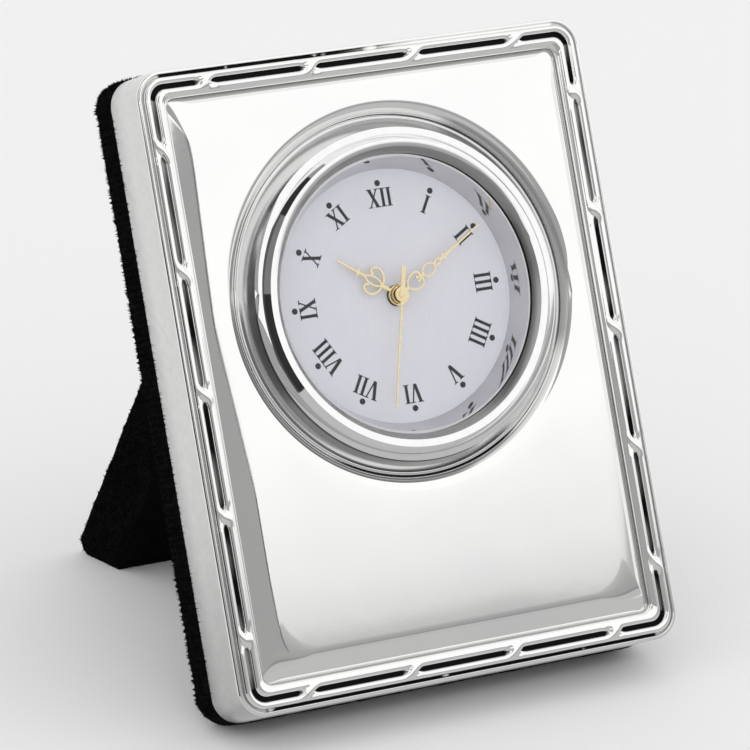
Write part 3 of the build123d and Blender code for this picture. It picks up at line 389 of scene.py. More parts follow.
def field_depth(points):
    """How far points of the field lie inside its edge, along outlines whose corners grow rounder inwards.

    A corner with its centre c inside both edges has a radius of (c + field_corner) / 2, and so lies
    (c - field_corner) / 2 inside. Its c solves square * c * c - linear * c + constant = 0.
    """
    gaps = np.array((half_width - field_inset, half_height - field_inset)) - np.abs(points)
    a, b = gaps[:, 0], gaps[:, 1]
    square = 1.75
    linear = 2 * (a + b) + field_corner / 2
    constant = a * a + b * b - field_corner ** 2 / 4
    corner = (linear + np.sqrt(np.maximum(linear ** 2 - 4 * square * constant, 0))) / (2 * square)
    rounded = (a < corner) & (b < corner)
    return np.where(rounded, (corner - field_corner) / 2, np.minimum(a, b))


def field_height(points):
    """The pillow of the field with the lip that rolls down into it round the clock."""
    arc = flank_width / math.sin(flank_slope)
    inside = np.clip(flank_width - field_depth(points), 0, flank_width)
    level = field_foot + arc * (1 - math.cos(flank_slope))
    pillow = level - arc + np.sqrt(arc ** 2 - inside ** 2)
    radius = np.hypot(points[:, 0], points[:, 1] - clock_rise)
    width, rise = lip_top_radius - lip_foot_radius, level - seat_level
    lip_arc = (width ** 2 + rise ** 2) / (2 * rise)
    reach = np.clip(lip_top_radius - radius, 0, width)
    lip = level - lip_arc + np.sqrt(lip_arc ** 2 - reach ** 2)
    lip = np.where(radius < lip_top_radius, lip, level + lip_outer_slope * (radius - lip_top_radius))
    return soft_least(pillow, lip, lip_blend)


def wall_rings():
    """The dull walls from their foot to the rim, a little dented, flared along the bottom, and darker towards
    their foot and towards the bottom.
    """
    wall_top = rim_level - rim_round
    for level in np.linspace(wall_foot, wall_top, wall_rows):
        wall = outline(0.0)
        down = (wall_top - level) / (wall_top - wall_foot)
        wall[:, 1] += foot_flare * down * np.minimum(wall[:, 1], 0) / half_height
        middle = math.sin(math.pi * (level - wall_foot) / (rim_level - wall_foot))
        dents = dent_depth * middle * wave(np.column_stack((wall, np.full(steps, level))), *dent_wave)
        darkening = wall_dull + foot_darkening * smooth_step(foot_darkening_level, wall_foot, level)
        darkening = darkening + cloud_dull * wave(wall, cloud_size, level)
        darkening += low_darkening * smooth_step(0.0, -half_height, wall[:, 1])
        yield wall * (1 - np.clip(dents, 0, None)[:, None] / half_width), level, darkening


def border_rings():
    """The rolled rim and the pressed border, in to the field's edge."""
    for turn in np.radians(np.linspace(*rim_turns, rim_rows)):
        yield outline(rim_round * (1 - math.cos(turn))), rim_level - rim_round * (1 - math.sin(turn)), 0.0
    for inset in np.linspace(rim_round + rim_gap, field_inset, border_rows):
        flat = outline(inset)
        height = border_height(inset)
        yield flat, height, border_tarnish(inset, flat, height)


def field_rings():
    """The field and the lip along spokes to the clock's hole, and the sheet's back out to the walls."""
    edge = outline(field_inset)
    centre = np.array((0.0, clock_rise))
    bearing = np.arctan2(edge[:, 1] - clock_rise, edge[:, 0])
    spoke = np.stack((np.cos(bearing), np.sin(bearing)), 1)
    span = np.linalg.norm(edge - centre, axis=1) - lip_top_radius
    probes = np.linspace(0, probe_reach, probe_count)
    depths = np.array([field_depth(edge - spoke * probe) for probe in probes])
    flank = probes[np.argmax(depths > flank_margin * flank_width, axis=0)]
    near = np.linspace(0, 1, flank_rows)[:, None] * np.minimum(flank_share * flank, span_share * span)
    far = near[-1] + np.linspace(0, 1, top_rows)[1:, None] * (span - near[-1])
    for away in np.vstack((near, far)):
        flat = edge - spoke * away[:, None]
        yield flat, field_height(flat), groove_dull * smooth_step(field_edge_width, 0.0, away)
    # The lip's lower part is darkened on its right as a painted reflection
    right_side = smooth_step(*lip_painted_reflection_span, np.cos(bearing - lip_painted_reflection_heading))
    # The gap at the lip's foot is blackened along the bottom as painted shade
    low_side = smooth_step(*gap_shade_span, np.sin(bearing))
    for radius in np.linspace(lip_top_radius, lip_foot_radius, lip_rows)[1:]:
        flat = centre + spoke * radius
        faded = smooth_step(lip_painted_reflection_radius + lip_painted_reflection_fade, lip_painted_reflection_radius, radius)
        darkening = lip_painted_reflection * right_side * faded
        gap = gap_painted_shade * low_side * smooth_step(gap_shade_width, gap_shade_core, radius - lip_foot_radius)
        yield flat, field_height(flat), np.maximum(darkening, gap)
    back_level = seat_level - gauge
    yield centre + spoke * hole_radius, seat_level, 0.0
    yield centre + spoke * hole_radius, back_level, 0.0
    yield centre + spoke * lip_foot_radius, back_level, 0.0
    for away in np.vstack((far[::-top_skip], near[::-flank_skip])):
        flat = edge - spoke * away[:, None]
        yield flat, np.maximum(field_height(flat) - gauge, back_level), 0.0
    yield outline(gauge), back_level, 0.0
    yield outline(gauge), wall_foot, 0.0


def build_silver_front():
    rings, patina_and_painted_shade = [], []
    for flat, level, dark in (*wall_rings(), *border_rings(), *field_rings()):
        rings.append(np.column_stack((flat, np.broadcast_to(level, (steps,)))))
        patina_and_painted_shade.append(np.broadcast_to(dark, (steps,)))
    points = to_row(np.vstack(rings))
    faces = torus_faces(len(rings), steps)
    piece = add_piece("silver_shell", points, faces, "frame", ("silver_front",))
    set_values(piece.data, "patina_and_painted_shade", np.concatenate(patina_and_painted_shade))
    return piece


# Turned rings of the clock insert


def arc_points(start, end, bow, count):
    """Points of an arc that bows to the left of the way from start to end."""
    start, end = np.array(start), np.array(end)
    share = np.linspace(0, 1, count)[:, None]
    chord = end - start
    aside = np.array((-chord[1], chord[0])) / np.linalg.norm(chord)
    return start + chord * share + aside * bow * 4 * share * (1 - share)


def turned_piece(name, profile, replaced, darkening=None):
    """A ring round the clock's axis from a closed profile of radius and height, with its darkening, in which the
    bezel carries painted shade and painted reflection.
    """
    angle = round_angles(turned_steps)
    rings = []
    for radius, height in profile:
        level = np.full(turned_steps, height)
        rings.append(np.column_stack((radius * np.cos(angle), radius * np.sin(angle), level)))
    points = to_row(np.vstack(rings), clock_origin)
    faces = torus_faces(len(profile), turned_steps)
    piece = add_piece(name, points, faces, "insert", replaced, turned_crease)
    if darkening is not None:
        set_values(piece.data, "patina_and_painted_shade", np.concatenate(darkening))
    return piece


def build_bezel():
    """The bezel: beaded flange, wall, land, steep step up to the rim, and a throat to the lens darkened with
    painted shade.
    """
    cup = cup_radius + fit_gap
    lens = lens_radius + fit_gap
    flange, wall_low = (25.36, bezel_foot + 0.38), (24.95, bezel_foot + 0.5)
    wall_top, land = (23.45, bezel_foot + 2.8), (22.45, bezel_foot + 3.1)
    rim, mouth, throat = (21.62, bezel_top), (20.6, bezel_top - 0.12), (19.7, lens_top + fit_gap)
    profile, darkening = [], []
    # The lower left of the bezel, where the wall's painted reflection streaks lie
    low_left = smooth_step(*bezel_painted_reflection_span, np.cos(round_angles(turned_steps) - bezel_painted_reflection_heading))

    def corner(radius, height, level):
        profile.append((radius, height))
        darkening.append(np.full(turned_steps, level))

    def run(start, end, bow, count, darkening_start, darkening_end, painted_reflection_bands=((0.0, 0.0),)):
        """An arc of the section, evenly darkened from start to end, or darker with painted reflection streaks on
        the lower left where those are darker.
        """
        profile.extend(arc_points(start, end, bow, count))
        even = np.linspace(darkening_start, darkening_end, count)
        painted_reflection_level = np.interp(np.linspace(0, 1, count), *zip(*painted_reflection_bands))
        darkening.extend(np.maximum(even[:, None], np.outer(painted_reflection_level, low_left)))

    corner(cup, bezel_foot, 0.0)
    corner(flange_radius, bezel_foot, 0.2)
    corner(flange_radius, bezel_foot + 0.3, 0.1)
    run(flange, wall_low, -0.05, 8, 0.0, 0.3)
    # The wall, with painted reflection streaks up its lower left
    run(wall_low, wall_top, 0.02, 20, 0.3, 0.2, wall_painted_reflections)
    run(wall_top, land, -0.04, 10, 0.0, 0.0)
    run(land, rim, -0.03, 12, 0.0, 0.0)
    run(rim, mouth, -0.03, 8, 0.0, 0.0)
    # The throat, darkened with painted shade
    run(mouth, throat, -0.04, 8, 0.6, 0.6)
    corner(lens, lens_top + fit_gap, 0.6)
    corner(lens, cup_top, 0.0)
    corner(cup, cup_top, 0.0)
    return turned_piece("bezel_ring", profile, ("bezel",), darkening)


def build_inner_ring():
    """The polished ring round the dial, flared up to the lens, in which the numerals are mirrored."""
    foot, top, wall = 17.95, 19.3, 0.5
    head = lens_top - lens_thickness - fit_gap
    edge, shoulder = lens_radius - fit_gap, cup_top - wall
    profile = list(arc_points((foot, dial_level), (top, head), bow=0.02, count=12))
    profile += [(edge, head), (edge, shoulder), (top + wall, shoulder), (foot + wall, dial_level)]
    return turned_piece("inner_ring_polished", profile, ("inner_ring",))


def build_lens():
    disc, faces = prism(circle(lens_radius, turned_steps), lens_thickness)
    raised = np.array(disc) + (0, 0, lens_top - lens_thickness)
    return add_piece("lens_clear", to_row(raised, clock_origin), faces, "insert", ("lens",))


# Dial markings


stem, hair, serif = 0.44, 0.2, 0.13
thick = stem + 0.06


def serif_bar(x, top, width):
    left, right = x - width / 2, x + width / 2
    low = numeral_height - serif if top else 0.0
    return [(left, low), (right, low), (right, low + serif), (left, low + serif)]


def slant(foot, head, width):
    return [(foot - width / 2, 0.0), (foot + width / 2, 0.0),
            (head + width / 2, numeral_height), (head - width / 2, numeral_height)]


# Each letter's advance and its strokes
glyphs = {
    "I": (0.98, [slant(0, 0, stem), serif_bar(0, True, 0.84), serif_bar(0, False, 0.84)]),
    "V": (1.9, [slant(0.02, -0.6, thick), slant(0.1, 0.68, hair), serif_bar(-0.6, True, 0.86),
                serif_bar(0.66, True, 0.66)]),
    "X": (1.96, [slant(0.58, -0.58, thick), slant(-0.62, 0.62, hair), serif_bar(-0.56, True, 0.82),
                 serif_bar(0.6, True, 0.66), serif_bar(-0.6, False, 0.66), serif_bar(0.56, False, 0.82)]),
}
numerals = ("XII", "I", "II", "III", "IIII", "V", "VI", "VII", "VIII", "IX", "X", "XI")


def build_markings():
    """The printed numerals, heads outwards, and a dot outside each."""
    points, faces = [], []

    def print_shape(shape, layer, hour, shift, distance):
        turn = math.radians(-hour_degrees * hour)
        corners, sides = prism(shape, ink_depth + ink_layer * layer)
        base = len(points)
        for x, y, z in corners:
            x, y = x + shift, y + distance
            turned_x = x * math.cos(turn) - y * math.sin(turn)
            turned_y = x * math.sin(turn) + y * math.cos(turn)
            points.append((turned_x, turned_y, dial_level + z))
        faces.extend([tuple(base + k for k in side) for side in sides])

    dot = circle(dot_radius, dot_steps)
    for hour, letters in enumerate(numerals):
        shift = -sum(glyphs[letter][0] for letter in letters) / 2
        for letter in letters:
            advance, shapes = glyphs[letter]
            for layer, shape in enumerate(shapes):
                print_shape(shape, layer, hour, shift + advance / 2, numeral_radius - numeral_height / 2)
            shift += advance
        print_shape(dot, 0, hour, 0.0, dot_distance)
    return add_piece("dial_print", to_row(points, clock_origin), faces, "insert")


# Velvet


def pile_shell(node, axes):
    """The node's own solid cut into a fine grid along the axes, as a mesh to be swelled and tufted."""
    shell = bmesh.new()
    shell.from_mesh(nodes[node].data)
    bmesh.ops.remove_doubles(shell, verts=shell.verts, dist=weld_distance * MM)
    bmesh.ops.dissolve_limit(shell, angle_limit=flat_angle, verts=shell.verts, edges=shell.edges)
    for axis in axes:
        places = [vertex.co.dot(axis) for vertex in shell.verts]
        low, high = min(places), max(places)
        count = int((high - low) / (pile_grid * MM))
        for k in range(1, count):
            geometry = list(shell.verts) + list(shell.edges) + list(shell.faces)
            place = axis * (low + (high - low) * k / count)
            bmesh.ops.bisect_plane(shell, geom=geometry, plane_co=place, plane_no=axis,
                                   dist=cut_distance * MM)
    bmesh.ops.triangulate(shell, faces=[face for face in shell.faces if len(face.verts) > 4])
    shell.normal_update()
    return shell


def outer_faces(shell):
    """The faces in front of which no other face lies, so not those inside the cover."""
    tree = BVHTree.FromBMesh(shell)
    outer = []
    for face in shell.faces:
        start = face.calc_center_median() + face.normal * ray_start * MM
        if tree.ray_cast(start, face.normal, ray_reach * MM)[0] is None:
            outer.append(face)
    return outer


def add_tuft(shell, foot, normal, tip, side):
    """A spike of three sides, its base sunk a little into the pile."""
    base = []
    for third in range(3):
        turned = Matrix.Rotation(2 * math.pi * third / 3, 3, normal) @ side
        base.append(shell.verts.new(foot + turned - normal * tuft_sink * MM))
    point = shell.verts.new(tip)
    shell.faces.new(base[::-1])
    for third in range(3):
        shell.faces.new((base[third], base[(third + 1) % 3], point))


def build_velvet(name, node, body, axes):
    """A velvet cover: the node's solid with an uneven pile, and tufts that break its outline.

    The nap lies along the last axis. Faces that look along it have a short pile: the frame's back,
    against which the strut folds, and the strut's ends.
    """
    shell = pile_shell(node, [Vector(axis) for axis in axes])
    outer = outer_faces(shell)
    nap_axis = Vector(axes[-1])
    down_axis = Vector(-upward)

    def is_deep(face):
        return abs(face.normal.dot(nap_axis)) < across_nap

    def tuft_share(face):
        """How long a face's tufts are: full, or shorter underneath and on the short pile."""
        if not is_deep(face):
            return short_share
        return sole_share if face.normal.dot(down_axis) > sole_start else 1.0

    swelled = {}
    for face in outer:
        for vertex in face.verts:
            bump = noise.noise(vertex.co / (lump_size * MM))
            bump += fuzz_share * noise.noise(vertex.co / (fuzz_size * MM))
            proud = 0.0
            if body == "frame" and is_deep(face):
                sole = (sole_start - vertex.normal.dot(down_axis)) / sole_fade
                proud = edge_swell * min(1.0, max(0.0, sole))
            bumps = deep_bumps if is_deep(face) else short_bumps
            swelled[vertex] = vertex.co + vertex.normal * (proud + bump * bumps) * MM
    for vertex, place in swelled.items():
        vertex.co = place
    areas = np.array([face.calc_area() for face in outer]) / MM ** 2
    density = np.where([is_deep(face) for face in outer], deep_tufts, short_tufts)
    weights = areas * density
    chosen = random.choice(len(outer), int(weights.sum()), p=weights / weights.sum())
    tufts = []
    for index in chosen:
        corners = [vertex.co for vertex in outer[index].verts]
        shares = random.dirichlet(np.ones(len(corners)))
        foot = sum((corner * share for corner, share in zip(corners, shares)), Vector())
        tufts.append((foot, outer[index].normal.copy(), tuft_share(outer[index])))
    for foot, normal, share in tufts:
        lean = Vector(random.normal(0, lean_spread, 3)) + nap_axis * random.normal(0, nap_spread)
        length = share * tuft_height * MM
        tip = foot + (normal + lean).normalized() * length * random.uniform(*tuft_lengths)
        side = normal.cross(Vector(random.normal(0, 1, 3))).normalized() * tuft_base * MM
        add_tuft(shell, foot, normal, tip, side)
    for vertex in shell.verts:
        vertex.co.z = max(vertex.co.z, 0.0)
    bmesh.ops.recalc_face_normals(shell, faces=shell.faces)
    mesh = bpy.data.meshes.new(name)
    shell.to_mesh(mesh)
    shell.free()
    mesh.shade_smooth()
    piece = add_object(name, mesh)
    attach(piece, body)
    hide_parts(node)
    return piece


# Materials


# The Mix node's sockets for colours
mix_factor, mix_first, mix_second, mix_result = 0, 6, 7, 2


def opaque(colour):
    """A colour, or a grey level, as red, green, blue and alpha."""
    return ((colour,) * 3 if isinstance(colour, float) else tuple(colour)) + (1,)


def either(tree, first, second):
    """A socket with the larger value of two sockets."""
    larger = tree.nodes.new("ShaderNodeMath")
    larger.operation = "MAXIMUM"
    tree.links.new(first, larger.inputs[0])
    tree.links.new(second, larger.inputs[1])
    return larger.outputs[0]


class Finish:
    """A material made of procedural nodes round one Principled shader."""

    def __init__(self, name, **sockets):
        self.material = bpy.data.materials.new(name)
        self.material.use_nodes = True
        self.tree = self.material.node_tree
        self.shader = self.tree.nodes["Principled BSDF"]
        for socket, value in sockets.items():
            self.shader.inputs[socket.replace("_", " ")].default_value = value

    def node(self, kind, **inputs):
        made = self.tree.nodes.new(kind)
        for socket, value in inputs.items():
            made.inputs[socket].default_value = value
        return made

    def link(self, output, socket):
        self.tree.links.new(output, socket)

    def place(self, stretch=(1, 1, 1), turn=(0, 0, 0)):
        """Object coordinates in metres, stretched along the axes."""
        coordinates = self.node("ShaderNodeTexCoord")
        mapping = self.node("ShaderNodeMapping", Scale=stretch, Rotation=turn)
        self.link(coordinates.outputs["Object"], mapping.inputs["Vector"])
        return mapping.outputs["Vector"]

    def noise(self, vector, size, detail=3.0, rough=0.55):
        """Noise with features of that size in millimetres."""
        made = self.node("ShaderNodeTexNoise", Scale=1 / (size * MM), Detail=detail, Roughness=rough)
        self.link(vector, made.inputs["Vector"])
        return made.outputs["Fac"]

    def ramp(self, factor, *stops):
        """Colours, or greys, at places along the factor."""
        made = self.node("ShaderNodeValToRGB")
        elements = made.color_ramp.elements
        while len(elements) < len(stops):
            elements.new(0.5)
        for element, (place, colour) in zip(elements, stops):
            element.position = place
            element.color = opaque(colour)
        self.link(factor, made.inputs["Fac"])
        return made.outputs["Color"]

    def mix(self, factor, first, colour):
        """The first socket's colour where the factor is 0, and the plain colour where it is 1."""
        made = self.tree.nodes.new("ShaderNodeMix")
        made.data_type = "RGBA"
        self.link(factor, made.inputs[mix_factor])
        self.link(first, made.inputs[mix_first])
        made.inputs[mix_second].default_value = opaque(colour)
        return made.outputs[mix_result]

    def attribute(self, name):
        made = self.node("ShaderNodeAttribute")
        made.attribute_name = name
        return made.outputs["Fac"]

    def set(self, socket, output):
        self.link(output, self.shader.inputs[socket])

    def bump(self, height, depth):
        """Relief of that depth in millimetres."""
        made = self.node("ShaderNodeBump", Strength=1.0, Distance=depth * MM)
        self.link(height, made.inputs["Height"])
        self.set("Normal", made.outputs["Normal"])


def silver_finish():
    """Polished sheet silver, blackened by patina in the grooves of its border, with handling marks, and darkened
    round the lip with painted reflection and painted shade.
    """
    finish = Finish("silver", Metallic=1.0)
    vector = finish.place()
    handling = finish.noise(vector, 1.1, 6.0, 0.7)
    pits = finish.ramp(handling, (0.0, 1.0), (0.24, 1.0), (0.29, 0.0), (1.0, 0.0))
    warm, cool = (0.965, 0.96, 0.95), (0.93, 0.93, 0.925)
    cloud = finish.ramp(finish.noise(vector, 14.0), (0.3, warm), (0.7, cool))
    worn = finish.mix(pits, cloud, 0.5)
    # Patina in the grooves, and painted reflection and painted shade on the lip and at its foot, darken the silver
    # towards black
    patina_and_painted_shade_level = finish.attribute("patina_and_painted_shade")
    finish.set("Base Color", finish.mix(patina_and_painted_shade_level, worn, (0.012, 0.012, 0.013)))
    scratches = finish.noise(finish.place((1, 9, 1), (0.2, 0.1, 0.5)), 0.6, 8.0, 0.7)
    polish = finish.ramp(scratches, (0.35, 0.035), (0.75, 0.085))
    finish.set("Roughness", finish.mix(patina_and_painted_shade_level, polish, 0.5))
    finish.bump(finish.noise(vector, 3.0, 1.0), 0.0012)
    return finish.material


def chrome_finish():
    """Bright plating with faint swirls, darkened and roughened where the piece says so: on the bezel a little
    round the flange and wall, with painted reflection in streaks up the lower left of the wall and painted shade
    in the throat.
    """
    finish = Finish("bezel_chrome", Metallic=1.0)
    vector = finish.place()
    swirl = finish.noise(vector, 1.5, 4.0)
    plate = finish.ramp(swirl, (0.3, 0.9), (0.65, (0.94, 0.94, 0.935)))
    # Painted shade and painted reflection from the bezel's values darken the plating towards black
    darkening = finish.attribute("patina_and_painted_shade")
    finish.set("Base Color", finish.mix(darkening, plate, (0.03, 0.03, 0.034)))
    polish = finish.ramp(swirl, (0.3, 0.03), (0.7, 0.06))
    finish.set("Roughness", finish.mix(darkening, polish, 0.45))
    finish.bump(swirl, 0.0005)
    return finish.material


def metal_finish(name, colour, rough, brushed=(1, 1, 1), relief=0.002, grain=0.25):
    """Bare metal whose colour and polish vary a little, brushed along one axis where it is stretched."""
    finish = Finish(name, Metallic=1.0)
    vector = finish.place(brushed)
    grain_noise = finish.noise(vector, grain, 4.0)
    darker = tuple(0.86 * c for c in colour)
    finish.set("Base Color", finish.ramp(grain_noise, (0.3, darker), (0.65, colour)))
    finish.set("Roughness", finish.ramp(grain_noise, (0.3, 0.7 * rough), (0.7, 1.3 * rough)))
    finish.bump(grain_noise, relief)
    return finish.material


def plastic_finish(name, colour, rough, relief=0.004, grain=0.3, coat=0.0):
    """Moulded plastic with a fine texture and slight flow marks."""
    finish = Finish(name, Coat_Weight=coat)
    vector = finish.place()
    flow = finish.noise(vector, 6.0)
    darker = tuple(0.82 * c for c in colour)
    finish.set("Base Color", finish.ramp(flow, (0.3, darker), (0.7, colour)))
    texture = finish.noise(vector, grain, 4.0)
    finish.set("Roughness", finish.ramp(texture, (0.3, 0.8 * rough), (0.7, min(1.0, 1.2 * rough))))
    finish.bump(texture, relief)
    return finish.material


def glass_finish():
    """Clear glass with little glare, which lets light through to what is behind it."""
    finish = Finish("lens_glass", Roughness=0.0, IOR=1.2, Transmission_Weight=1.0)
    cloud = finish.noise(finish.place(), 9.0)
    finish.set("Base Color", finish.ramp(cloud, (0.3, (0.97, 0.98, 0.98)), (0.7, 1.0)))
    path = finish.node("ShaderNodeLightPath")
    lighting = either(finish.tree, path.outputs["Is Shadow Ray"], path.outputs["Is Diffuse Ray"])
    clear = finish.node("ShaderNodeBsdfTransparent")
    both = finish.node("ShaderNodeMixShader")
    finish.link(lighting, both.inputs[0])
    finish.link(finish.shader.outputs[0], both.inputs[1])
    finish.link(clear.outputs[0], both.inputs[2])
    finish.link(both.outputs[0], finish.tree.nodes["Material Output"].inputs["Surface"])
    return finish.material


def dial_finish():
    """Satin lacquer over fine upright brushing."""
    finish = Finish("dial_satin", Coat_Weight=0.15, Coat_Roughness=0.3)
    brushing = finish.noise(finish.place((9, 0.4, 0.4)), 0.7, 5.0, 0.65)
    finish.set("Base Color", finish.ramp(brushing, (0.3, (0.66, 0.66, 0.72)), (0.7, (0.72, 0.72, 0.78))))
    finish.set("Roughness", finish.ramp(brushing, (0.3, 0.36), (0.7, 0.5)))
    finish.bump(brushing, 0.002)
    return finish.material


def ink_finish():
    finish = Finish("dial_ink")
    speck = finish.noise(finish.place(), 0.15, 3.0)
    dark, light = (0.006, 0.006, 0.008), (0.014, 0.014, 0.018)
    finish.set("Base Color", finish.ramp(speck, (0.3, dark), (0.7, light)))
    finish.set("Roughness", finish.ramp(speck, (0.3, 0.4), (0.7, 0.6)))
    return finish.material


def velvet_finish():
    """Black cotton velvet: a dull ground, brushed patches and a sheen at grazing angles."""
    finish = Finish("velvet", Sheen_Weight=0.02, Sheen_Roughness=0.45, Sheen_Tint=(0.55, 0.55, 0.6, 1),
                    Specular_IOR_Level=0.03)
    vector = finish.place()
    nap = finish.noise(vector, 7.0, 4.0)
    pile = finish.noise(vector, 0.4, 5.0, 0.7)
    ground = finish.ramp(nap, (0.35, (0.0012, 0.0012, 0.0014)), (0.7, (0.003, 0.003, 0.0035)))
    tips = finish.ramp(pile, (0.4, 0.0), (0.75, 0.6))
    finish.set("Base Color", finish.mix(tips, ground, (0.007, 0.007, 0.008)))
    finish.set("Roughness", finish.ramp(pile, (0.3, 0.85), (0.7, 1.0)))
    finish.bump(pile, 0.25)
    return finish.material


def wood_finish():
    finish = Finish("wood", Roughness=0.65)
    grain = finish.noise(finish.place((6, 6, 0.5)), 3.0, 6.0, 0.6)
    dark, middle, light = (0.36, 0.23, 0.12), (0.52, 0.36, 0.2), (0.6, 0.44, 0.27)
    finish.set("Base Color", finish.ramp(grain, (0.3, dark), (0.55, middle), (0.75, light)))
    finish.bump(grain, 0.05)
    return finish.material


finishes = {
    "silver": silver_finish(),
    "bezel_chrome": chrome_finish(),
    "lens_glass": glass_finish(),
    "dial_satin": dial_finish(),
    "gasket_white": plastic_finish("gasket_white", (0.75, 0.75, 0.74), 0.6),
    "velvet": velvet_finish(),
    "wood": wood_finish(),
    "hinge_brass": metal_finish("hinge_brass", (0.78, 0.6, 0.3), 0.3, (1, 1, 6), 0.01),
    "hand_gold": metal_finish("hand_gold", (0.96, 0.8, 0.5), 0.2, relief=0.003),
    "cup_plastic": plastic_finish("cup_plastic", (0.85, 0.85, 0.83), 0.35, coat=0.2),
    "grip_rubber": plastic_finish("grip_rubber", (0.06, 0.06, 0.06), 0.75),
    "movement_plastic": plastic_finish("movement_plastic", (0.035, 0.035, 0.04), 0.5, 0.01),
    "plate_plastic": plastic_finish("plate_plastic", (0.5, 0.5, 0.47), 0.45),
    "wheel_plastic": plastic_finish("wheel_plastic", (0.86, 0.84, 0.75), 0.35, coat=0.2),
    "wheel_brass": metal_finish("wheel_brass", (0.8, 0.62, 0.32), 0.25),
    "steel": metal_finish("steel", (0.62, 0.62, 0.63), 0.3, (1, 5, 1)),
    "contact_brass": metal_finish("contact_brass", (0.8, 0.62, 0.34), 0.28),
    "copper": metal_finish("copper", (0.75, 0.35, 0.18), 0.3, (1, 1, 7), 0.02),
    "circuit": plastic_finish("circuit", (0.03, 0.22, 0.1), 0.35, 0.02, 0.8, 0.4),
    "chip_black": plastic_finish("chip_black", (0.02, 0.02, 0.02), 0.4),
}


def dress(piece, material):
    piece.data.materials.clear()
    piece.data.materials.append(material)


# Light, floor and camera
background = 0.888
surround_light = 0.97
floor_half = 4.0

# Studio cards on the face's axes, in millimetres, and their glows
card_distance = 520.0
low_gap, left_gap, line_gap = 5.0, 10.0, 20.0
card_reach = 1500.0
grey_glow, line_glow, table_glow = 0.36, 0.12, 0.52
table_ends = (520.0, -10.0)
table_reach = 400.0
table_clearance = 1.0
high_left = ((-100.0, 60.0), (-100.0, 420.0), (-450.0, 420.0), (-450.0, 150.0), (-190.0, 90.0))
low_edge = ((237.0, -57.8), (279.0, -56.8), (296.0, -59.0), (308.0, -60.3))

# The left card's edge, with the width of the dark line along it
left_card_edge = ((-703.0, 86.0, 50.0), (-170.0, 76.0, 40.0), (-60.0, 62.0, 40.0), (-224.0, 23.0, 40.0),
                  (71.0, -19.0, 30.0), (60.0, -40.0, 30.0), (120.0, -62.0, 20.0), (130.0, -130.0, 3.0))

# Heights and glows down the front cards
front_steps = ((1000.0, 1.05), (-8.0, 1.04), (-44.0, 0.87), (-64.0, 0.66))
low_steps = ((-61.0, 0.5), (-114.0, 0.39), (-183.0, 0.35), (-183.0, 0.27), (-203.0, 0.27), (-203.0, 0.5),
             (-290.0, 0.5))

# Upright flags: x, y and the span of z at both ends, and the glow
flags = (((-75.0, -53.0, 8.0, 31.0), (-75.0, 24.0, 8.0, 31.0), 0.03),
         ((-75.0, 24.0, 8.0, 31.0), (-213.0, 300.0, 32.0, 90.0), 0.2),
         ((-213.0, 300.0, 0.0, 90.0), (-70.0, 300.0, 0.0, 90.0), 0.03),
         ((-70.0, 300.0, 0.0, 90.0), (-20.0, 300.0, 0.0, 90.0), 0.3),
         ((-75.0, -53.0, -5.0, 8.0), (-75.0, 24.0, -5.0, 8.0), 0.07),
         ((-75.0, 24.0, -5.0, 8.0), (-213.0, 300.0, 0.0, 32.0), 0.1))


def light_world():
    """An even surround: the background's grey where it is seen, and plain light elsewhere."""
    world = bpy.data.worlds.new("surround")
    bpy.context.scene.world = world
    world.use_nodes = True
    tree = world.node_tree
    path = tree.nodes.new("ShaderNodeLightPath")
    seen = either(tree, path.outputs["Is Camera Ray"], path.outputs["Is Glossy Ray"])
    through = either(tree, seen, path.outputs["Is Transmission Ray"])
    level = tree.nodes.new("ShaderNodeMix")
    level.data_type = "RGBA"
    level.inputs[mix_first].default_value = opaque(surround_light)
    level.inputs[mix_second].default_value = opaque(background)
    tree.links.new(through, level.inputs[mix_factor])
    tree.links.new(level.outputs[mix_result], tree.nodes["Background"].inputs["Color"])


def card(name, corners, glow, lights_room=False):
    """A card that the metal mirrors: corners on the face's axes, and one glow or one for each."""
    mesh = bpy.data.meshes.new(name)
    mesh.from_pydata([tuple(p) for p in to_row(corners)], [], [tuple(range(len(corners)))])
    set_values(mesh, "glow", np.broadcast_to(glow, (len(corners),)))
    piece = add_object(name, mesh)
    material = bpy.data.materials.new(name)
    material.use_nodes = True
    tree = material.node_tree
    tree.nodes.clear()
    level = tree.nodes.new("ShaderNodeAttribute")
    level.attribute_name = "glow"
    shade = tree.nodes.new("ShaderNodeEmission")
    tree.links.new(level.outputs["Fac"], shade.inputs["Color"])
    output = tree.nodes.new("ShaderNodeOutputMaterial")
    tree.links.new(shade.outputs[0], output.inputs["Surface"])
    dress(piece, material)
    piece.visible_camera = False
    piece.visible_shadow = False
    piece.visible_transmission = False
    piece.visible_diffuse = lights_room


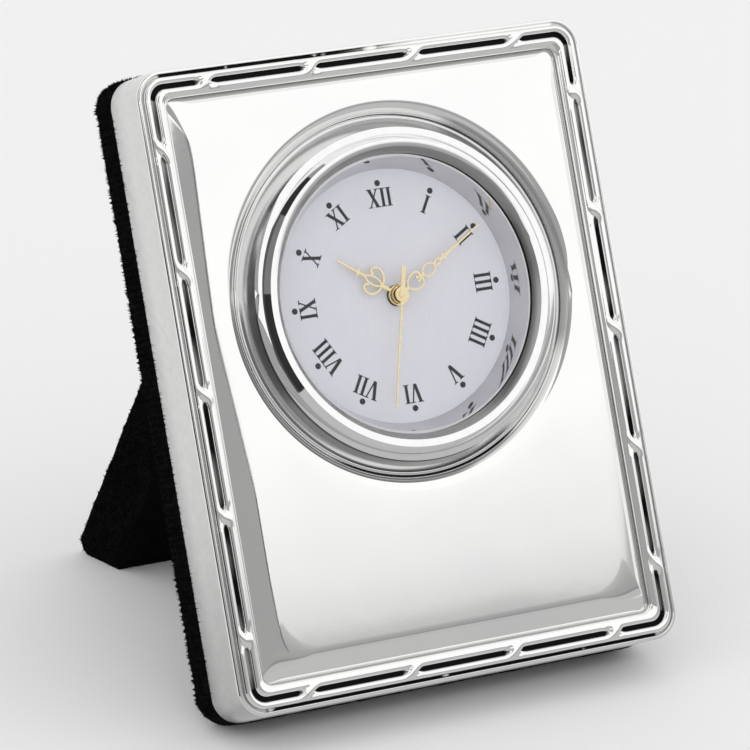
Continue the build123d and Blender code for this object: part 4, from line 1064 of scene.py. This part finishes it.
def build_cards():
    """The studio that the silver mirrors: a bright front, a grey left and dark flags by the clock."""

    def across(name, reach, start, end, glow_start, glow_end, lights_room=False):
        """A card across the front, from one height and distance to another."""
        corners = [(-reach, *start), (reach, *start), (reach, *end), (-reach, *end)]
        card(name, corners, (glow_start, glow_start, glow_end, glow_end), lights_room)

    def stack(name, places, distance, lights_room=False):
        """Cards one under another that fade from glow to glow, with a jump where a height comes twice."""
        for k, ((high, bright), (low, dim)) in enumerate(zip(places, places[1:])):
            if high != low:
                top, foot = (high, distance), (low, distance)
                across(f"{name}_{k}", card_reach, top, foot, bright, dim, lights_room)

    stack("softbox", front_steps, card_distance, lights_room=True)
    distance = card_distance - low_gap
    stack("low_front", low_steps, distance)
    level, glow = low_steps[0]
    brow = [(-card_reach, low_edge[0][1]), *low_edge, (card_reach, low_edge[-1][1]),
            (card_reach, level), (-card_reach, level)]
    card("low_brow", [(x, y, distance) for x, y in brow], glow)
    table = table_clearance - face_origin[2] / MM
    far, near = [((table - outward[2] * ahead) / upward[2], ahead) for ahead in table_ends]
    across("table", table_reach, far, near, table_glow, table_glow)
    distance = card_distance - left_gap
    card("high_left_grey", [(x, y, distance) for x, y in high_left], grey_glow)
    edge = [(x, y, distance) for x, y, _ in left_card_edge]
    far_left = [(-card_reach, edge[-1][1], distance), (-card_reach, edge[0][1], distance)]
    card("left_grey", edge + far_left, grey_glow)
    distance = card_distance - line_gap
    stretches = zip(left_card_edge, left_card_edge[1:])
    for k, ((x, y, width), (end_x, end_y, end_width)) in enumerate(stretches):
        strip = [(x, y, distance), (end_x, end_y, distance),
                 (end_x - end_width, end_y, distance), (x - width, y, distance)]
        card(f"left_line_{k}", strip, line_glow)
    for k, ((x, y, low, high), (end_x, end_y, end_low, end_high), glow) in enumerate(flags):
        corners = [(x, y, low), (end_x, end_y, end_low), (end_x, end_y, end_high), (x, y, high)]
        card(f"flag_{k}", corners, glow)


def build_floor():
    mesh = bpy.data.meshes.new("floor")
    corners = [(x * floor_half, y * floor_half, 0) for x, y in ((-1, -1), (1, -1), (1, 1), (-1, 1))]
    mesh.from_pydata(corners, [], [(0, 1, 2, 3)])
    floor = add_object("floor", mesh)
    finish = Finish("floor", Base_Color=opaque(background), Roughness=0.9, Specular_IOR_Level=0.0)
    dress(floor, finish.material)


# The photograph's camera, on the face's axes: turns in degrees and place in millimetres
camera_tilt, camera_swing, camera_roll = -0.58, 26.52, 9.70
camera_shift = (5.26, 2.06, -708.9)
focal_pixels, image_pixels = 5059.0, 750.0
sensor_width = 36.0
nearest_seen = 0.05


def build_camera():

    def turn(degrees, axis):
        return Matrix.Rotation(math.radians(degrees), 4, axis)

    turns = turn(camera_roll, "Z") @ turn(camera_tilt, "X") @ turn(camera_swing, "Y")
    seen = Matrix.Translation(Vector(camera_shift) * MM) @ turns
    face = Matrix.Translation(Vector(face_origin)) @ Matrix(face_axes.T.tolist()).to_4x4()
    lens = bpy.data.cameras.new("camera")
    lens.sensor_width = sensor_width
    lens.lens = focal_pixels / image_pixels * sensor_width
    lens.clip_start = nearest_seen
    camera = add_object("camera", lens)
    camera.matrix_world = face @ seen.inverted()
    bpy.context.scene.camera = camera


bpy.context.scene.view_settings.view_transform = "Standard"

dress(build_silver_front(), finishes["silver"])
dress(build_bezel(), finishes["bezel_chrome"])
ring_finish = metal_finish("inner_ring_metal", (0.66, 0.655, 0.665), 0.05, relief=0.0004, grain=8.0)
dress(build_inner_ring(), ring_finish)
dress(build_lens(), finishes["lens_glass"])
dress(build_markings(), ink_finish())
dress(build_velvet("velvet_back", "back_velvet", "frame", face_axes), finishes["velvet"])
dress(build_velvet("velvet_strut", "strut_velvet", "strut", strut_axes), finishes["velvet"])

slot_of = {part["node"]: part["material_slot"] for part in frame["record"]["subparts"]}
for node, piece in nodes.items():
    dress(piece, finishes[slot_of[node]])

light_world()
build_floor()
build_cards()
build_camera()
